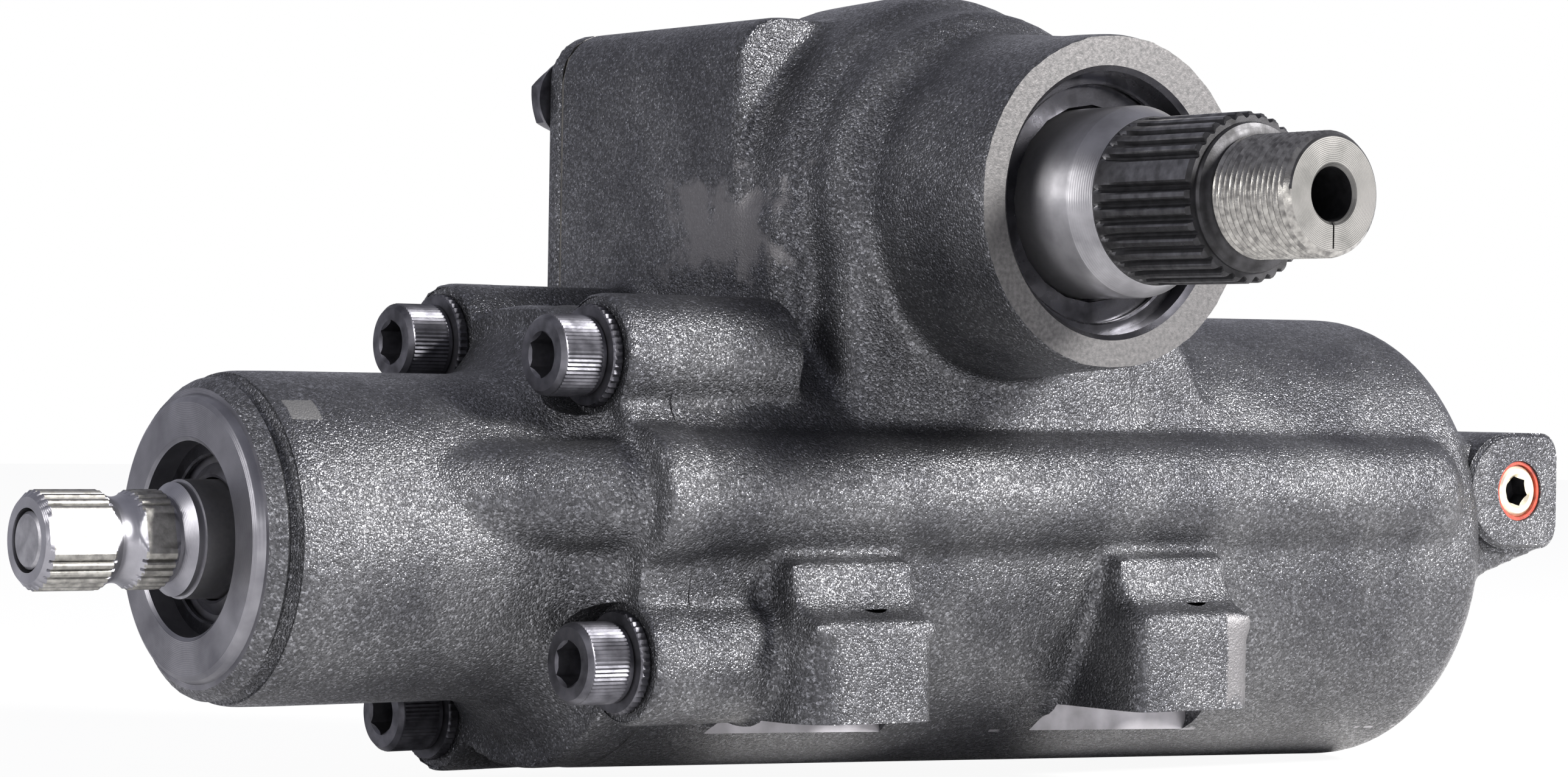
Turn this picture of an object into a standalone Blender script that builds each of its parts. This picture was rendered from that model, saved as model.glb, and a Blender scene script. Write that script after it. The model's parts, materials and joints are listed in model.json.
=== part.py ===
"""Integral power steering gearbox of the recirculating-ball kind, as an assembly of separate pieces.

Metres, +Z up.  The origin is the centre of the input shaft's end face.  +X runs along the worm and
the rack piston to the closed end, the sector shaft comes out towards -Y, and the side cover with
its adjuster is on +Y.
"""
import math

import bmesh
import bpy
from mathutils import Matrix, Vector

NAME = "steering_gearbox"

# Clearances between neighbouring pieces
CLEAR = 0.0003
THREAD_CLEAR = 0.0002
BACKLASH = 0.0003
WELD = 0.000004

# Facets of round pieces
FINE = 28
MEDIUM = 20
SMALL = 12
TINY = 8

# Layout along the main axis: valve housing face, seam, sector axis
VALVE_FACE_X = 0.0347
VALVE_LENGTH = 0.0833
SEAM_X = VALVE_FACE_X + VALVE_LENGTH
SECTOR_FROM_SEAM = 0.0807
SECTOR_X = SEAM_X + SECTOR_FROM_SEAM
COVER_SEAM_Y = 0.054

# Sector and rack: teeth, swing and ratio
TEETH_ROUND = 12
SECTOR_TEETH = 3
PITCH_R = 0.0346
PRESSURE_ANGLE = math.radians(20.0)
SECTOR_ADDENDUM = 0.0044
RACK_ADDENDUM = 0.0030
ROOT_CLEAR = 0.0009
GEAR_RATIO = 16.0
SECTOR_SWING = math.radians(38.0)
MODULE = 2 * PITCH_R / TEETH_ROUND
PITCH = math.pi * MODULE
SECTOR_TIP_R = PITCH_R + SECTOR_ADDENDUM
SECTOR_ROOT_R = PITCH_R - RACK_ADDENDUM - ROOT_CLEAR
BORE_R = 0.0385
PISTON_R = BORE_R - CLEAR
RACK_LAND = 0.0014
SECTOR_Z = PISTON_R - RACK_LAND - RACK_ADDENDUM + PITCH_R
PITCH_LINE_Z = SECTOR_Z - PITCH_R
RACK_TOP_Z = PITCH_LINE_Z + RACK_ADDENDUM
RACK_ROOT_Z = PITCH_LINE_Z - SECTOR_ADDENDUM - ROOT_CLEAR
LEAD = 2 * math.pi * PITCH_R / GEAR_RATIO
TRAVEL = PITCH_R * SECTOR_SWING

# Main bore and the rack piston
SPIGOT_LENGTH = 0.0045
SPIGOT_END_X = SEAM_X + SPIGOT_LENGTH
PISTON_FRONT_SPARE = 0.00155
PISTON_FRONT_X = SPIGOT_END_X + TRAVEL + PISTON_FRONT_SPARE
PISTON_TAIL = 0.0873
PISTON_REAR_X = SECTOR_X + PISTON_TAIL
PISTON_REAR_SPARE = 0.00405
BORE_END_X = PISTON_REAR_X + TRAVEL + PISTON_REAR_SPARE
RACK_HALF = 0.033
PISTON_RING_FROM_END = 0.028
PISTON_RING_X = PISTON_REAR_X - PISTON_RING_FROM_END
PISTON_RING_WIDTH = 0.0032
PISTON_RING_DEPTH = 0.0028
END_PLUG_R = 0.0200
END_PLUG_DEPTH = 0.0160
END_PLUG_SOCKET = 0.0120

# Ball screw
BALL_R = 0.003572
BALL_PITCH_R = 0.0141
GROOVE_R = BALL_R + 0.0009
WORM_R = 0.0132
NUT_R = 0.0150
BALL_COUNT = 7
CIRCUIT_TURNS = 3
CIRCUIT_OFFSET = 0.0067
CIRCUIT_X = SECTOR_X - CIRCUIT_OFFSET
GROOVE_STEPS = 12
WORM_END_SPARE = 0.0030
WORM_END_X = PISTON_REAR_X - END_PLUG_DEPTH - TRAVEL - WORM_END_SPARE
GROOVE_RUN_OUT = 0.0030
GUIDE_R = 0.0046
GUIDE_BORE_R = 0.0038
GUIDE_WALL = 0.0092
GUIDE_DROP = PISTON_R - GUIDE_WALL
GUIDE_BEND_R = 0.0060
GUIDE_LEG_END = BALL_PITCH_R + GROOVE_R + CLEAR

# Worm head and its bearings
WORM_HEAD_FRONT = 0.0194
WORM_FRONT_X = SEAM_X - WORM_HEAD_FRONT
WORM_HEAD_R = 0.0170
WORM_FLANGE_R = 0.0275
WORM_HEAD_LENGTH = 0.0054
WORM_FLANGE_THICK = 0.0053
WORM_FLANGE_FRONT_X = WORM_FRONT_X + WORM_HEAD_LENGTH
WORM_FLANGE_REAR_X = WORM_FLANGE_FRONT_X + WORM_FLANGE_THICK
WORM_NECK_R = 0.0142
WORM_NECK_END_X = PISTON_FRONT_X - TRAVEL - 2 * CLEAR
THRUST_BORE_R = 0.0286
THRUST_THICK = 0.0032
THRUST_FRONT_X = WORM_FLANGE_FRONT_X - CLEAR - THRUST_THICK
RETAINER_R = 0.0343
RETAINER_THICK = 0.0045
WORM_PILOT_R = 0.0082

# Input shaft, torsion bar and control valve
INPUT_SPLINE_R = 0.009525
INPUT_TIP_CHAMFER = 0.0014
INPUT_TEETH = 24
INPUT_TOOTH_DEPTH = 0.0006
INPUT_SPLINE_END_X = 0.0276
CLAMP_GROOVE_X = 0.0174
CLAMP_GROOVE_R = 0.0036
CLAMP_GROOVE_OUT = 0.0014
BLANK_FLAT_ANGLE = math.radians(55.0)
BLANK_FLAT_CENTRE = math.radians(13.0)
JOURNAL_R = 0.0114
JOURNAL_STEP = 0.0026
JOURNAL_FRONT_X = INPUT_SPLINE_END_X + JOURNAL_STEP
RECESS_DEPTH = 0.0153
RECESS_END_X = VALVE_FACE_X + RECESS_DEPTH
NEEDLE_LENGTH = 0.0132
SLEEVE_BORE_FRONT_X = RECESS_END_X + NEEDLE_LENGTH
SPOOL_R = 0.0139
SPOOL_END_SPACE = 0.0008
SPOOL_FRONT_X = SLEEVE_BORE_FRONT_X + SPOOL_END_SPACE
SPOOL_REAR_SPACE = 0.0014
SPOOL_REAR_X = WORM_FRONT_X - SPOOL_REAR_SPACE
SPOOL_SLOTS = 6
SPOOL_SLOT_WIDTH = 0.0040
SPOOL_SLOT_DEPTH = 0.0016
PILOT_LENGTH = 0.0083
PILOT_END_X = SPOOL_REAR_X + PILOT_LENGTH
TORSION_HEAD_R = 0.00545
TORSION_HEAD_LENGTH = 0.0125
TORSION_WAIST_R = 0.0036
TORSION_TAIL = 0.0135
TORSION_REAR_HEAD_X = PILOT_END_X + 0.0025
TORSION_REAR_X = TORSION_REAR_HEAD_X + TORSION_TAIL
INPUT_BORE_R = 0.0065
PIN_R = 0.0021
PIN_X = (TORSION_REAR_HEAD_X + TORSION_REAR_X) / 2
SLEEVE_R = 0.0226
SLEEVE_END_SPACE = 0.0018
SLEEVE_FRONT_X = SLEEVE_BORE_FRONT_X + SLEEVE_END_SPACE
SLEEVE_REAR_X = WORM_FRONT_X - CLEAR
SLEEVE_RING_XS = tuple(SLEEVE_FRONT_X + (SLEEVE_REAR_X - SLEEVE_FRONT_X) * part for part in (0.12, 0.465, 0.81))
SLEEVE_RING_WIDTH = 0.0022
SLEEVE_RING_DEPTH = 0.0018
SLEEVE_PORT_R = 0.0022

# Valve housing
VALVE_RING_R = 0.02775
VALVE_R = 0.03225
VALVE_CONE_LENGTH = 0.0060
VALVE_CONE_R = VALVE_R - 0.00125
VALVE_SHOULDER = 0.0093
VALVE_SHOULDER_X = VALVE_FACE_X + VALVE_SHOULDER
FLANGE_THICK = 0.0112
FLANGE_FRONT_X = SEAM_X - FLANGE_THICK
FLANGE_R = 0.0460
INPUT_SEAL_HEIGHT = 0.00735
RECESS_R = JOURNAL_R + INPUT_SEAL_HEIGHT
INPUT_NEEDLE_THICK = 0.0051
NEEDLE_BORE_R = JOURNAL_R + INPUT_NEEDLE_THICK
OIL_SEAL_THICK = 0.0060
DUST_SEAL_THICK = 0.0034
INPUT_SNAP_THICK = 0.0014
SPIGOT_SEAL_X = SEAM_X + SPIGOT_LENGTH * 0.53
SPIGOT_SEAL_R = 0.0008
VALVE_CASTING_FLARE = 0.0150
PORT_FROM_SEAM = 0.0290
PORT_SPACING = 0.0250
PORT_XS = (SEAM_X - PORT_FROM_SEAM - PORT_SPACING, SEAM_X - PORT_FROM_SEAM)
PORT_BOSS_R = 0.0118
PORT_FACE_Y = 0.0430
PORT_R = 0.0075
PORT_DEPTH = 0.0135
PORT_PASSAGE_R = 0.0030

# Socket screws between the two housings: (y, z) of each
VALVE_SCREWS = ((-0.0284, 0.0362), (-0.0395, -0.0228), (0.0283, 0.0386), (0.0297, -0.0370))
SCREW_R = 0.0050
SCREW_HEAD_R = 0.0080
SCREW_HEAD_LENGTH = 0.0100
SCREW_SOCKET = 0.0080
SCREW_SOCKET_DEPTH = 0.0058
SCREW_REACH = 0.0200
WASHER_R = 0.0102
WASHER_THICK = 0.0022
SPOT_R = 0.0116
SPOT_DEPTH = 0.0004
EAR_R = 0.0125

# Gear housing casting
BARREL_FRONT_WALL = 0.0085
BARREL_REAR_WALL = 0.0113
BARREL_FRONT_R = BORE_R + BARREL_FRONT_WALL
BARREL_REAR_R = BORE_R + BARREL_REAR_WALL
BARREL_TILT = math.radians(0.40)
BORE_END_WALL = 0.0110
DOME_X = BORE_END_X + BORE_END_WALL
DOME_LENGTH = 0.0195
DOME_CROWN_R = 0.0058
CAVITY_R = SECTOR_TIP_R + 0.0007
CAVITY_TOP = 0.0291
CAVITY_TOP_Z = SECTOR_Z + CAVITY_TOP
CAVITY_NEAR_Y = -0.0172
BLOCK_WALL = 0.0070
BLOCK_TOP_WALL = 0.0095
BLOCK_HALF = CAVITY_R + BLOCK_WALL
BLOCK_TOP_Z = CAVITY_TOP_Z + BLOCK_TOP_WALL
BLOCK_DROP = 0.0484
BLOCK_BOTTOM_Z = SECTOR_Z - BLOCK_DROP
BLOCK_NEAR_Y = -0.0120
BLOCK_ROUND = 0.0110
BOSS_FACE_Y = -0.07475
BOSS_R = 0.0330
BOSS_ROOT_R = 0.0352
SKIRT_HALF = 0.0390
SKIRT_Y = -0.0412
SKIRT_BOTTOM_Z = 0.0190
RIDGE_R = 0.0128
RIDGE_Y = -0.0415
RIDGE_Z = 0.0092
PASSAGE_R = 0.0035
SCREW_BOSS_LENGTHS = (0.0400, 0.0280, 0.0400, 0.0300)

# Frame mounting bosses: x, y of the hole and the way the boss faces along Y
PAD_Z = -0.0345
MOUNT_TOP_Z = -0.0140
MOUNT_Y = 0.0520
MOUNT_FRONT = 0.0441
MOUNT_REAR = 0.0394
MOUNT_FAR = 0.0113
MOUNTS = ((SECTOR_X - MOUNT_FRONT, -MOUNT_Y, -1), (SECTOR_X + MOUNT_REAR, -MOUNT_Y, -1),
          (SECTOR_X + MOUNT_FAR, MOUNT_Y, 1))
MOUNT_LEFT = 0.0190
MOUNT_RIGHT = 0.0122
MOUNT_REACH = 0.0102
MOUNT_HOLE_R = 0.0063
MOUNT_SPOT_R = 0.0098
MOUNT_WEB_TOP_Z = -0.0030
MOUNT_ROUND = 0.0060
MOUNT_COVE_R = 0.0080
MILLED_Y = 0.0270
MILLED_LEFT = 0.0196
MILLED_RIGHT = 0.0208
MILLED_DEPTH = 0.0250

# Cross drilling at the closed end, with its plug
PLUG_FROM_DOME = 0.0010
PLUG_X = DOME_X + DOME_LENGTH + PLUG_FROM_DOME
PLUG_Z = 0.0102
PLUG_FACE_Y = -0.0460
PLUG_ARM_R = 0.0130
PLUG_ARM_SQUARE = 0.0125
PLUG_ARM_FAR_Y = 0.0140
PLUG_HEAD_R = 0.0064
PLUG_HEAD_DEPTH = 0.0065
PLUG_THREAD_R = 0.0052
PLUG_LENGTH = 0.0140
PLUG_SOCKET = 0.0060
PLUG_SOCKET_DEPTH = 0.0046
PLUG_SEAL_R = 0.0083

# Sector shaft, outwards along -Y
SHAFT_TIP_Y = -0.1384
THREAD_R = 0.0120
THREAD_ROOT_Y = -0.1205
NECK_R = 0.0108
NECK_LENGTH = 0.0028
TIP_CHAMFER = 0.0010
CENTRE_HOLE_R = 0.0052
CENTRE_HOLE_DEPTH = 0.0140
INDEX_SLOT_WIDTH = 0.0012
INDEX_SLOT_DEPTH = 0.0016
SPLINE_R = 0.0165
SPLINE_TEETH = 32
SPLINE_DEPTH = 0.0013
SPLINE_END_Y = -0.1175
SPLINE_START_Y = -0.0880
SPLINE_COLLAR_R = 0.0142
SECTOR_JOURNAL_R = 0.0190
JOURNAL_END_Y = -0.0825
SECTOR_NEAR_Y = -0.0160
SECTOR_FAR_Y = 0.0240
HUB_R = 0.0235
TRUNNION_R = 0.0170
TRUNNION_END_Y = 0.0505
T_SLOT_WIDTH = 0.0120
T_SLOT_LIP = 0.0026
T_SLOT_HEIGHT = 0.0042
T_HEAD_R = 0.0092

# Sector bearings and seals
NEEDLE_R = 0.0234
NEEDLE_NEAR_Y = -0.0560
SEAL_BORE_R = 0.0263
SEAL_BORE_END_Y = -0.0575
SEAL_THICK = 0.0085
BACKUP_THICK = 0.0016
SNAP_THICK = 0.0016
SNAP_GROOVE_R = 0.0279
BUSH_WALL = 0.0028
BUSH_R = TRUNNION_R + BUSH_WALL

# Side cover, its bolts and the adjuster
COVER_THICK = 0.0054
GASKET_THICK = 0.0006
COVER_DOME_R = 0.0300
COVER_DOME_Y = 0.0680
ADJUSTER_BOSS_R = 0.0140
ADJUSTER_BOSS_Y = 0.0725
COVER_HUB_WALL = 0.0042
COVER_HUB_R = BUSH_R + COVER_HUB_WALL
COVER_HUB_END_Y = 0.0275
COVER_BOLT_INSET = 0.0073
COVER_BOLT_X = BLOCK_HALF - COVER_BOLT_INSET
COVER_BOLT_TOP_Z = BLOCK_TOP_Z - 0.0140
COVER_BOLT_LOW_Z = BLOCK_BOTTOM_Z + 0.0140
COVER_BOLT_R = 0.0050
COVER_BOLT_HEAD = 0.0140
COVER_BOLT_HEAD_HEIGHT = 0.0066
COVER_BOLT_FLANGE_R = 0.0090
COVER_BOLT_FLANGE_THICK = 0.0012
COVER_BOLT_REACH = 0.0180
ADJUSTER_R = 0.0055
ADJUSTER_END_Y = 0.0880
ADJUSTER_SOCKET = 0.0050
LOCKNUT_WIDTH = 0.0190
LOCKNUT_THICK = 0.0085

MAIN_AXIS = Matrix.Rotation(math.pi / 2, 4, "Y")
SECTOR_AXIS = Matrix.Translation((SECTOR_X, 0.0, SECTOR_Z)) @ Matrix.Rotation(-math.pi / 2, 4, "X")


def clear_scene():
    """Remove what the file holds, so that each run gives the same model."""
    for obj in list(bpy.data.objects):
        bpy.data.objects.remove(obj, do_unlink=True)
    for collection in list(bpy.data.collections):
        bpy.data.collections.remove(collection)


def material(name, colour, roughness, metallic):
    """A Principled material from an RGB colour, a roughness and a metallic value."""
    mat = bpy.data.materials.new(name)
    mat.use_nodes = True
    shader = mat.node_tree.nodes["Principled BSDF"]
    shader.inputs["Base Color"].default_value = (*colour, 1.0)
    shader.inputs["Roughness"].default_value = roughness
    shader.inputs["Metallic"].default_value = metallic
    mat.diffuse_color = (*colour, 1.0)
    return mat


def add(name, data, place=None):
    """Put an object in the part's collection, with its origin at the given place."""
    obj = bpy.data.objects.new(name, data)
    parts.objects.link(obj)
    if place is not None:
        obj.matrix_world = place
    return obj


def bake(obj):
    """Replace an object's data by the mesh that its modifiers make."""
    graph = bpy.context.evaluated_depsgraph_get()
    mesh = bpy.data.meshes.new_from_object(obj.evaluated_get(graph))
    old = obj.data
    if isinstance(old, bpy.types.Curve):
        solid = add(obj.name, mesh, obj.matrix_world.copy())
        bpy.data.objects.remove(obj, do_unlink=True)
        bpy.data.curves.remove(old)
        return solid
    obj.modifiers.clear()
    obj.data = mesh
    bpy.data.meshes.remove(old)
    return obj


def weld(obj, outwards=False):
    """Merge a mesh's doubled points and drop slivers, and turn its faces outwards where asked."""
    bm = bmesh.new()
    bm.from_mesh(obj.data)
    bmesh.ops.remove_doubles(bm, verts=bm.verts, dist=WELD)
    bmesh.ops.dissolve_degenerate(bm, dist=WELD / 2, edges=bm.edges)
    if outwards:
        bmesh.ops.recalc_face_normals(bm, faces=bm.faces)
    bm.to_mesh(obj.data)
    bm.free()
    return obj


def turned(outer, inner=None, place=MAIN_AXIS, steps=MEDIUM, name="turned"):
    """A solid of revolution.  outer and inner are (distance along the axis, radius), rising."""
    points = [(r, 0.0, s) for s, r in reversed(outer)]
    if inner is None:
        points = [(0.0, 0.0, outer[-1][0])] + points + [(0.0, 0.0, outer[0][0])]
    else:
        points += [(r, 0.0, s) for s, r in inner]
    edges = [(i, i + 1) for i in range(len(points) - 1)]
    if inner is not None:
        edges.append((len(points) - 1, 0))
    mesh = bpy.data.meshes.new(name)
    mesh.from_pydata(points, edges, [])
    obj = add(name, mesh, place)
    screw = obj.modifiers.new("Screw", "SCREW")
    screw.steps = steps
    screw.render_steps = steps
    screw.use_merge_vertices = True
    screw.merge_threshold = 1e-5
    return bake(obj)


def cylinder(start, end, radius, place=MAIN_AXIS, steps=MEDIUM, name="cylinder"):
    """A plain cylinder between two distances along an axis."""
    return turned([(start, radius), (end, radius)], None, place, steps, name)


def ring(start, end, outer_r, inner_r, place=MAIN_AXIS, steps=MEDIUM, name="ring"):
    """A plain ring between two distances along an axis."""
    return turned([(start, outer_r), (end, outer_r)], [(start, inner_r), (end, inner_r)], place, steps, name)


def prism(outline, start, end, place=MAIN_AXIS, name="prism"):
    """A flat outline in the axis's own x and y, extruded between two distances along the axis."""
    curve = bpy.data.curves.new(name, "CURVE")
    curve.dimensions = "2D"
    curve.fill_mode = "BOTH"
    curve.extrude = abs(end - start) / 2
    spline = curve.splines.new("POLY")
    spline.points.add(len(outline) - 1)
    for point, (x, y) in zip(spline.points, outline):
        point.co = (x, y, 0.0, 1.0)
    spline.use_cyclic_u = True
    obj = add(name, curve, place @ Matrix.Translation((0.0, 0.0, (start + end) / 2)))
    obj = weld(bake(obj), True)
    obj.data.transform(Matrix.Translation((0.0, 0.0, (start + end) / 2)))
    obj.matrix_world = place
    return obj


def loft(sections, place=MAIN_AXIS, name="loft"):
    """A solid through equal outlines, each given as (distance along the axis, points)."""
    bm = bmesh.new()
    rows = [[bm.verts.new((x, y, s)) for x, y in outline] for s, outline in sections]
    count = len(rows[0])
    for low, high in zip(rows, rows[1:]):
        for i in range(count):
            bm.faces.new((low[i], low[(i + 1) % count], high[(i + 1) % count], high[i]))
    bm.faces.new(list(reversed(rows[0])))
    bm.faces.new(rows[-1])
    bmesh.ops.recalc_face_normals(bm, faces=bm.faces)
    mesh = bpy.data.meshes.new(name)
    bm.to_mesh(mesh)
    bm.free()
    return add(name, mesh, place)


def box(low, high, round_r=0.0, round_axis=None, name="box"):
    """A box between two corners, its edges along one axis, or all of them, rounded."""
    bm = bmesh.new()
    size = Vector(high) - Vector(low)
    centre = (Vector(high) + Vector(low)) / 2
    bmesh.ops.create_cube(bm, size=1.0, matrix=Matrix.Translation(centre) @ Matrix.Diagonal((*size, 1.0)))
    if round_r:
        edges = bm.edges
        if round_axis is not None:
            edges = [e for e in bm.edges if abs((e.verts[0].co - e.verts[1].co)[round_axis]) > 1e-6]
        bmesh.ops.bevel(bm, geom=list(edges), offset=round_r, segments=4, profile=0.5, affect="EDGES",
                        clamp_overlap=True)
    mesh = bpy.data.meshes.new(name)
    bm.to_mesh(mesh)
    bm.free()
    return add(name, mesh)


def tube(path, radius, name="tube", resolution=2):
    """A round bar along a list of points."""
    curve = bpy.data.curves.new(name, "CURVE")
    curve.dimensions = "3D"
    curve.bevel_depth = radius
    curve.bevel_resolution = resolution
    curve.use_fill_caps = True
    spline = curve.splines.new("POLY")
    spline.points.add(len(path) - 1)
    for point, co in zip(spline.points, path):
        point.co = (*co, 1.0)
    return weld(bake(add(name, curve)), True)


def combine(body, tools, operation):
    """Apply Boolean operations to a body one after the other, and remove the tools."""
    for tool in tools:
        modifier = body.modifiers.new("Boolean", "BOOLEAN")
        modifier.operation = operation
        modifier.solver = "EXACT"
        modifier.object = tool
        body = weld(bake(body))
        used = tool.data
        bpy.data.objects.remove(tool, do_unlink=True)
        bpy.data.meshes.remove(used)
    return body


def join(body, *tools):
    return combine(body, tools, "UNION")


def cut(body, *tools):
    return combine(body, tools, "DIFFERENCE")


def common(body, *tools):
    return combine(body, tools, "INTERSECT")


def finish(obj, name, mat, sharp=35.0):
    """Name a finished piece, give it its material and shade its round faces smooth."""
    obj.name = name
    obj.data.name = name
    obj.data.materials.clear()
    obj.data.materials.append(mat)
    obj.data.shade_smooth()
    obj.data.set_sharp_from_angle(angle=math.radians(sharp))
    return obj


def arc(cx, cy, radius, start, end, count):
    """Points on an arc, both ends included, angles in degrees."""
    angles = [math.radians(start + (end - start) * i / count) for i in range(count + 1)]
    return [(cx + radius * math.cos(a), cy + radius * math.sin(a)) for a in angles]


def polygon(cx, cy, across_flats, sides=6, turn=0.0):
    """A regular polygon given by its width across flats."""
    radius = across_flats / 2 / math.cos(math.pi / sides)
    angles = [turn + 2 * math.pi * i / sides for i in range(sides)]
    return [(cx + radius * math.cos(a), cy + radius * math.sin(a)) for a in angles]


def rounded_rectangle(x0, y0, x1, y1, radius, count=3):
    """An outline with four equal round corners."""
    return (arc(x1 - radius, y1 - radius, radius, 0, 90, count)
            + arc(x0 + radius, y1 - radius, radius, 90, 180, count)
            + arc(x0 + radius, y0 + radius, radius, 180, 270, count)
            + arc(x1 - radius, y0 + radius, radius, 270, 360, count))


def main_plane(points):
    """Turn an outline given as (y, z) into the main axis's own plane."""
    return [(-z, y) for y, z in points]


def sector_plane(points):
    """Turn an outline given as (x, z) into the sector axis's own plane."""
    return [(x - SECTOR_X, SECTOR_Z - z) for x, z in points]


def along_x(y, z):
    return Matrix.Translation((0.0, y, z)) @ MAIN_AXIS


def along_y(x, z):
    return Matrix.Translation((x, 0.0, z)) @ Matrix.Rotation(-math.pi / 2, 4, "X")


def along_z(x, y):
    return Matrix.Translation((x, y, 0.0))


def serration(radius, depth, teeth):
    """The outline of a V-toothed serration."""
    points = []
    for i in range(2 * teeth):
        angle = math.pi * i / teeth
        r = radius - depth * (i % 2)
        points.append((r * math.cos(angle), r * math.sin(angle)))
    return points


def helix(radius, start_x, turns, phase, steps):
    """Points on a right-hand helix about the main axis."""
    count = round(turns * steps)
    points = []
    for i in range(count + 1):
        angle = 2 * math.pi * i / steps
        points.append((start_x + LEAD * i / steps, radius * math.sin(phase + angle), -radius * math.cos(phase + angle)))
    return points


def ear(y, z, start, end):
    """A screw boss: round at the screw, with straight flanks running in towards the main axis."""
    reach = math.hypot(y, z)
    outline = arc(reach, 0.0, EAR_R, -90, 90, 8) + [(0.020, EAR_R), (0.020, -EAR_R)]
    return prism(outline, start, end, MAIN_AXIS @ Matrix.Rotation(math.atan2(y, -z), 4, "Z"))


def gear_housing(mat):
    """The main casting: barrel, sector chamber, shaft boss, passages and frame bosses."""
    # Barrel with a drafted wall and a domed closed end
    profile = [(SEAM_X - 0.006, BARREL_FRONT_R), (DOME_X, BARREL_REAR_R)]
    for i in range(1, 6):
        angle = math.pi / 2 * i / 5
        crown = DOME_CROWN_R + (BARREL_REAR_R - DOME_CROWN_R) * math.cos(angle)
        profile.append((DOME_X + DOME_LENGTH * math.sin(angle), crown))
    tilt = Matrix.Translation((SEAM_X, 0, 0)) @ Matrix.Rotation(BARREL_TILT, 4, "Y") @ Matrix.Translation((-SEAM_X, 0, 0))
    body = turned(profile, place=tilt @ MAIN_AXIS, steps=FINE)

    # Sector chamber: a round-cornered block at the cover, a round bulge and the shaft boss
    block = prism(sector_plane(rounded_rectangle(SECTOR_X - BLOCK_HALF, BLOCK_BOTTOM_Z, SECTOR_X + BLOCK_HALF,
                                                 BLOCK_TOP_Z, BLOCK_ROUND)),
                  BLOCK_NEAR_Y, COVER_SEAM_Y - CLEAR, SECTOR_AXIS)
    root = BOSS_ROOT_R
    bulge = turned([(BOSS_FACE_Y, BOSS_R), (BLOCK_NEAR_Y - 0.0305, root), (BLOCK_NEAR_Y - 0.0265, root + 0.0020),
                    (BLOCK_NEAR_Y - 0.0240, root + 0.0044), (BLOCK_NEAR_Y - 0.0210, root + 0.0057),
                    (BLOCK_NEAR_Y - 0.0170, root + 0.0060), (BLOCK_NEAR_Y - 0.0100, root + 0.0082),
                    (BLOCK_NEAR_Y, root + 0.0096), (BLOCK_NEAR_Y + 0.0220, root + 0.0088)],
                   place=SECTOR_AXIS, steps=FINE)
    skirt = box((SECTOR_X - SKIRT_HALF, SKIRT_Y, SKIRT_BOTTOM_Z), (SECTOR_X + SKIRT_HALF, 0.0, SECTOR_Z),
                0.008, 1)
    body = join(body, block, bulge, skirt)

    # Passage ridge from the seam to the cross drilling
    ridge = cylinder(SEAM_X - 0.004, PLUG_X, RIDGE_R, along_x(RIDGE_Y, RIDGE_Z), SMALL)
    root = box((SEAM_X - 0.004, RIDGE_Y, RIDGE_Z - RIDGE_R * 0.9), (DOME_X + 0.004, -0.030, RIDGE_Z + RIDGE_R * 0.9))
    body = join(body, ridge, root)

    # Bosses behind the four socket screws
    for (y, z), length in zip(VALVE_SCREWS, SCREW_BOSS_LENGTHS):
        body = join(body, ear(y, z, SEAM_X - 0.003, SEAM_X + length))

    # Frame mounting bosses with webs up to the ridge
    for x, y, side in MOUNTS:
        low_y, high_y = sorted((y + side * MOUNT_REACH, side * 0.028))
        outline = rounded_rectangle(x - MOUNT_LEFT, low_y, x + MOUNT_RIGHT, high_y, MOUNT_ROUND)
        body = join(body, prism(outline, PAD_Z, MOUNT_WEB_TOP_Z, along_z(0.0, 0.0)))

    # Arm for the cross drilling, round on one side and square on the other
    left = PLUG_X - PLUG_ARM_R + 0.0128 - 0.0025
    section = (arc(left, PLUG_Z, PLUG_ARM_R, 90, 270, 8)
               + arc(PLUG_X + PLUG_ARM_SQUARE - 0.005, PLUG_Z - PLUG_ARM_R + 0.005, 0.005, 270, 360, 3)
               + arc(PLUG_X + PLUG_ARM_SQUARE - 0.005, PLUG_Z + PLUG_ARM_R - 0.005, 0.005, 0, 90, 3))
    arm = prism([(x, -z) for x, z in section], PLUG_FACE_Y, PLUG_ARM_FAR_Y, along_y(0.0, 0.0))
    gusset = prism([(x, -z) for x, z in ((DOME_X - 0.006, PLUG_Z), (PLUG_X + PLUG_ARM_SQUARE, PLUG_Z - 0.011),
                                         (DOME_X + 0.010, PLUG_Z - 0.022), (DOME_X - 0.006, PLUG_Z - 0.022))],
                   PLUG_FACE_Y + 0.012, PLUG_ARM_FAR_Y - 0.0023, along_y(0.0, 0.0))
    body = join(body, arm, gusset)

    # Flat machined faces: the seam and the frame pads
    body = cut(body, box((0.080, -0.080, -0.080), (SEAM_X + CLEAR / 2, 0.080, 0.080)))
    for x, y, side in MOUNTS:
        slope = 0.0020
        deep = PAD_Z - MILLED_DEPTH
        milled = [(x - MILLED_LEFT, PAD_Z + 0.0003), (x + MILLED_RIGHT, PAD_Z + 0.0003),
                  (x + MILLED_RIGHT + slope, deep), (x - MILLED_LEFT - slope, deep)]
        low_y, high_y = sorted((side * MILLED_Y, side * (MOUNT_Y + 0.0280)))
        body = cut(body, prism([(px, -pz) for px, pz in milled], low_y, high_y, along_y(0.0, 0.0)))
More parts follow.
